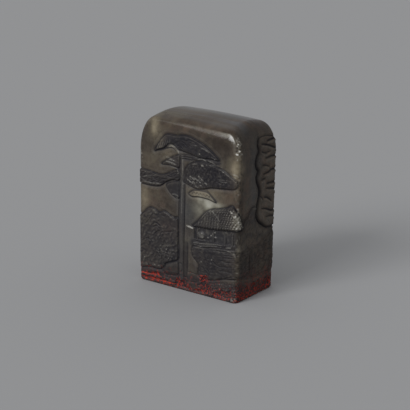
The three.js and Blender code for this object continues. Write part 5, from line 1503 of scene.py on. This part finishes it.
# %% The stone's material
stone_material, tree = new_material("polished_soapstone")
place = add_node(tree, "ShaderNodeTexCoord").outputs["Object"]
clouds_wide = add_noise(tree, place, 95, 5, 0.6, 0.34, 0.66, bend=0.6)
clouds_small = add_noise(tree, place, 420, 5, 0.65, 0.36, 0.66)
grains = add_noise(tree, place, 2600, 3, 0.6, 0.42, 0.75)
bedding = add_noise(tree, stretch(tree, place, (0.25, 1.6, 1.0)), 700, 4, 0.6, 0.4, 0.7)
tone, wear_and_highlight, stain = (attribute(tree, name) for name in ("tone", "wear_and_highlight", "stain"))

mottle = add_noise(tree, place, 230, 4, 0.6, 0.48, 0.66, bend=0.8)
pools = add_noise(tree, place, 310, 4, 0.6, 0.58, 0.78, bend=0.8)
olive_share = figure(tree, "MULTIPLY_ADD", clouds_small, 0.5, 0.6)
pale_share = figure(tree, "MULTIPLY_ADD", clouds_small, 0.4, 0.75)
crest = attribute(tree, "crest")
band = add_noise(tree, stretch(tree, place, (0.16, 1.0, 0.4)), 190, 2, 0.5, 0.38, 0.62, bend=0.5)
narrow = add_noise(tree, stretch(tree, place, (0.12, 1.0, 0.4)), 330, 2, 0.5, 0.45, 0.7, bend=0.4)
colour = mix_colour(tree, clouds_wide, DEEP, GROUND)
for cover, strength, above in (
    (clouds_small, 0.42, LIGHT), (mottle, 0.5, MOTTLE), (pools, 1.0, DEEP), (bedding, 0.22, BEDDING),
    (attribute(tree, "umber"), 0.85, UMBER), (attribute(tree, "rust"), clouds_small, RUST),
    (attribute(tree, "slate"), 0.8, SLATE), (attribute(tree, "olive"), olive_share, OLIVE),
    (attribute(tree, "pale"), pale_share, PALE), (crest, figure(tree, "MULTIPLY", band, 0.6), BROWN_BAND),
    (crest, figure(tree, "MULTIPLY", narrow, 0.6), BLUE_BAND), (grains, 0.06, GRAIN),
):
    colour = lay_over(tree, colour, cover, strength, above)
# the dirt in the cuts, the wear with its painted highlights, and a painted white sparkle where it is
# strongest
uneven = figure(tree, "MULTIPLY_ADD", clouds_wide, -0.14, 0.88)
uneven = figure(tree, "MULTIPLY_ADD", clouds_small, 0.2, uneven)
colour = lay_over(tree, colour, tone, uneven, CUT)
colour = lay_over(tree, colour, wear_and_highlight, figure(tree, "MULTIPLY_ADD", grains, 0.55, 0.5), WORN_AND_HIGHLIGHT)
colour = lay_over(tree, colour, figure(tree, "MULTIPLY_ADD", wear_and_highlight, 4, -3.1, clamp=True), 0.8, PAINTED_SPARKLE)
# the red film, which is solid where the stain is strongest and broken elsewhere
speckle = add_noise(tree, place, 1500, 3, 0.7, 0.48, 0.58)
film = figure(tree, "MULTIPLY", stain, figure(tree, "MULTIPLY_ADD", speckle, 1.1, 0.08), clamp=True)
solid = figure(tree, "MULTIPLY_ADD", stain, 4, -3.1, clamp=True)
film = figure(tree, "MULTIPLY_ADD", solid, 0.7, film, clamp=True)
red = mix_colour(tree, figure(tree, "MAXIMUM", speckle, solid), DULL_STAIN, STAINED)
colour = mix_colour(tree, film, colour, red)

rough = figure(tree, "MULTIPLY_ADD", clouds_small, 0.06, 0.12)
rough = figure(tree, "MULTIPLY_ADD", attribute(tree, "matte"), 0.48, rough)
rough = figure(tree, "MULTIPLY_ADD", film, 0.35, rough)
rough = figure(tree, "MULTIPLY_ADD", grains, 0.08, rough, clamp=True)
fine = add_noise(tree, place, 5200, 3, 0.6)
scoured = figure(tree, "MULTIPLY", fine, figure(tree, "MULTIPLY_ADD", tone, 0.8, 0.12))
bump = add_node(tree, "ShaderNodeBump", {"Strength": 0.35, "Distance": 0.00006, "Height": scoured})
add_surface(tree, {
    "Base Color": colour, "Roughness": rough, "Normal": bump.outputs["Normal"], "IOR": 1.55,
    "Specular IOR Level": 0.28,
})
stone.data.materials.append(stone_material)
print("the stone's material has", len(tree.nodes), "nodes")

# %% [markdown]
# ## The dried paste
# Seal paste is cinnabar powder in oil with plant fibre. It dries into a crumbly crust with a lumpy top.
# Each deposit starts as many small overlapping balls, pressed flat in its hollow, with a few loose crumbs
# beside them. A voxel remesh then melts the balls into one crust, much as the real paste sets.

# %% The paste's finish
def paste_finish(name, dark, bright, dust):
    """Lumps from dark to bright red, with fine dust on them."""
    material, tree = new_material(name)
    place = add_node(tree, "ShaderNodeTexCoord").outputs["Object"]
    lumps = add_noise(tree, place, 900, 4, 0.65, 0.36, 0.64)
    powder = add_noise(tree, place, 4200, 3, 0.6, 0.36, 0.66)
    colour = lay_over(tree, mix_colour(tree, lumps, dark, bright), powder, 0.4, dust)
    height = figure(tree, "MULTIPLY_ADD", powder, 0.4, lumps)
    bump = add_node(tree, "ShaderNodeBump", {"Strength": 0.6, "Distance": 0.00012, "Height": height})
    add_surface(tree, {
        "Base Color": colour, "Roughness": figure(tree, "MULTIPLY_ADD", powder, 0.25, 0.5), "IOR": 1.45,
        "Normal": bump.outputs["Normal"], "Specular IOR Level": 0.35,
    })
    return material


fresh_paste = paste_finish(
    "cinnabar_paste", (0.09, 0.010, 0.009, 1), (0.38, 0.028, 0.020, 1), (0.46, 0.05, 0.036, 1))
old_paste = paste_finish(
    "old_paste", (0.05, 0.010, 0.009, 1), (0.26, 0.022, 0.019, 1), (0.32, 0.04, 0.032, 1))
print("finishes:", fresh_paste.name, old_paste.name)

# %% [markdown]
# Each crust takes the place of one deposit of the CAD model, in the same outline. The paste on the
# printing face keeps its CAD shape and only gets the finish.

# %% Lay each deposit in its hollow
FLATNESS = 0.55  # the balls are pressed into the stone to this share of their size
BALL_PITCH = (0.46, 0.38)
MELT = 0.08  # mm, the cell of the voxel remesh
COVER, STREAK_COVER = 0.19, 0.2  # the share of places that get a ball


def on_side(side, across, up, depth):
    """A place on one side of the stone, in millimetres, that deep under the polished ground."""
    spot = {
        "front": (across, -HALF_DEPTH + depth, up), "right": (HALF_WIDTH - depth, across, up),
        "back": (-across, HALF_DEPTH - depth, up), "left": (-HALF_WIDTH + depth, -across, up),
    }[side]
    return Vector(spot) + Vector((LEAN_RIGHT, LEAN_BACK, 0)) * (up / HEIGHT)


def lay_paste(name, side, points, seed, finish, cover):
    """One crust: balls scattered in its outline, a few crumbs at its edge, all melted together."""
    draw = np.random.RandomState(seed)
    outline = flow(points, closed=True)
    balls = bmesh.new()
    flat = Matrix.Diagonal((1, FLATNESS, 1, 1) if side in ("front", "back") else (FLATNESS, 1, 1, 1))
    for across, up in scatter(outline, BALL_PITCH, seed, 0.5):
        if draw.rand() > cover:
            continue
        size = 0.12 + 0.13 * draw.rand() ** 2
        spot = on_side(side, across, up, 0.26 - 0.2 * draw.rand())
        bmesh.ops.create_icosphere(balls, subdivisions=2, radius=size, matrix=Matrix.Translation(spot) @ flat)
    for _ in range(max(int(len(balls.verts) / 1500), 4)):
        across, up = outline[draw.randint(len(outline))] + draw.randn(2) * 0.25
        spot = on_side(side, across, max(up, 0.75), 0.02)
        bmesh.ops.create_icosphere(balls, subdivisions=1, radius=0.1 + 0.1 * draw.rand(),
                                   matrix=Matrix.Translation(spot) @ flat)
    bmesh.ops.scale(balls, verts=balls.verts, vec=(MM, MM, MM))
    crust = add_mesh_object(name, balls)
    loose = crust.data
    melt = crust.modifiers.new("melt", "REMESH")
    melt.mode = "VOXEL"
    melt.voxel_size = MELT * MM
    melt.use_smooth_shade = True
    melted = bpy.data.meshes.new_from_object(crust.evaluated_get(bpy.context.evaluated_depsgraph_get()))
    crust.modifiers.clear()
    crust.data = melted
    bpy.data.meshes.remove(loose)
    melted.name = name
    melted.materials.clear()
    melted.materials.append(finish)
    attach(crust, "root")
    return crust


for seed, (node, (side, drawn)) in enumerate(deposits.items()):
    finish = fresh_paste if side == "front" else old_paste
    cover = STREAK_COVER if "streak" in node else COVER
    crust = lay_paste(node.replace("paste", "crust"), side, drawn, 100 + seed, finish, cover)
    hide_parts(node)
    print(crust.name, len(crust.data.polygons), "faces")
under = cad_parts["paste_printing_face"]
for slot in under.material_slots:
    slot.material = fresh_paste
print("under the stone:", under.name)

# %% [markdown]
# ## Sizes
# The last cell gives the sizes of the CAD model and of what was made here.

# %% Sizes, and done
{"cad": numbers(cad_bounds), "visual": numbers(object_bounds())}
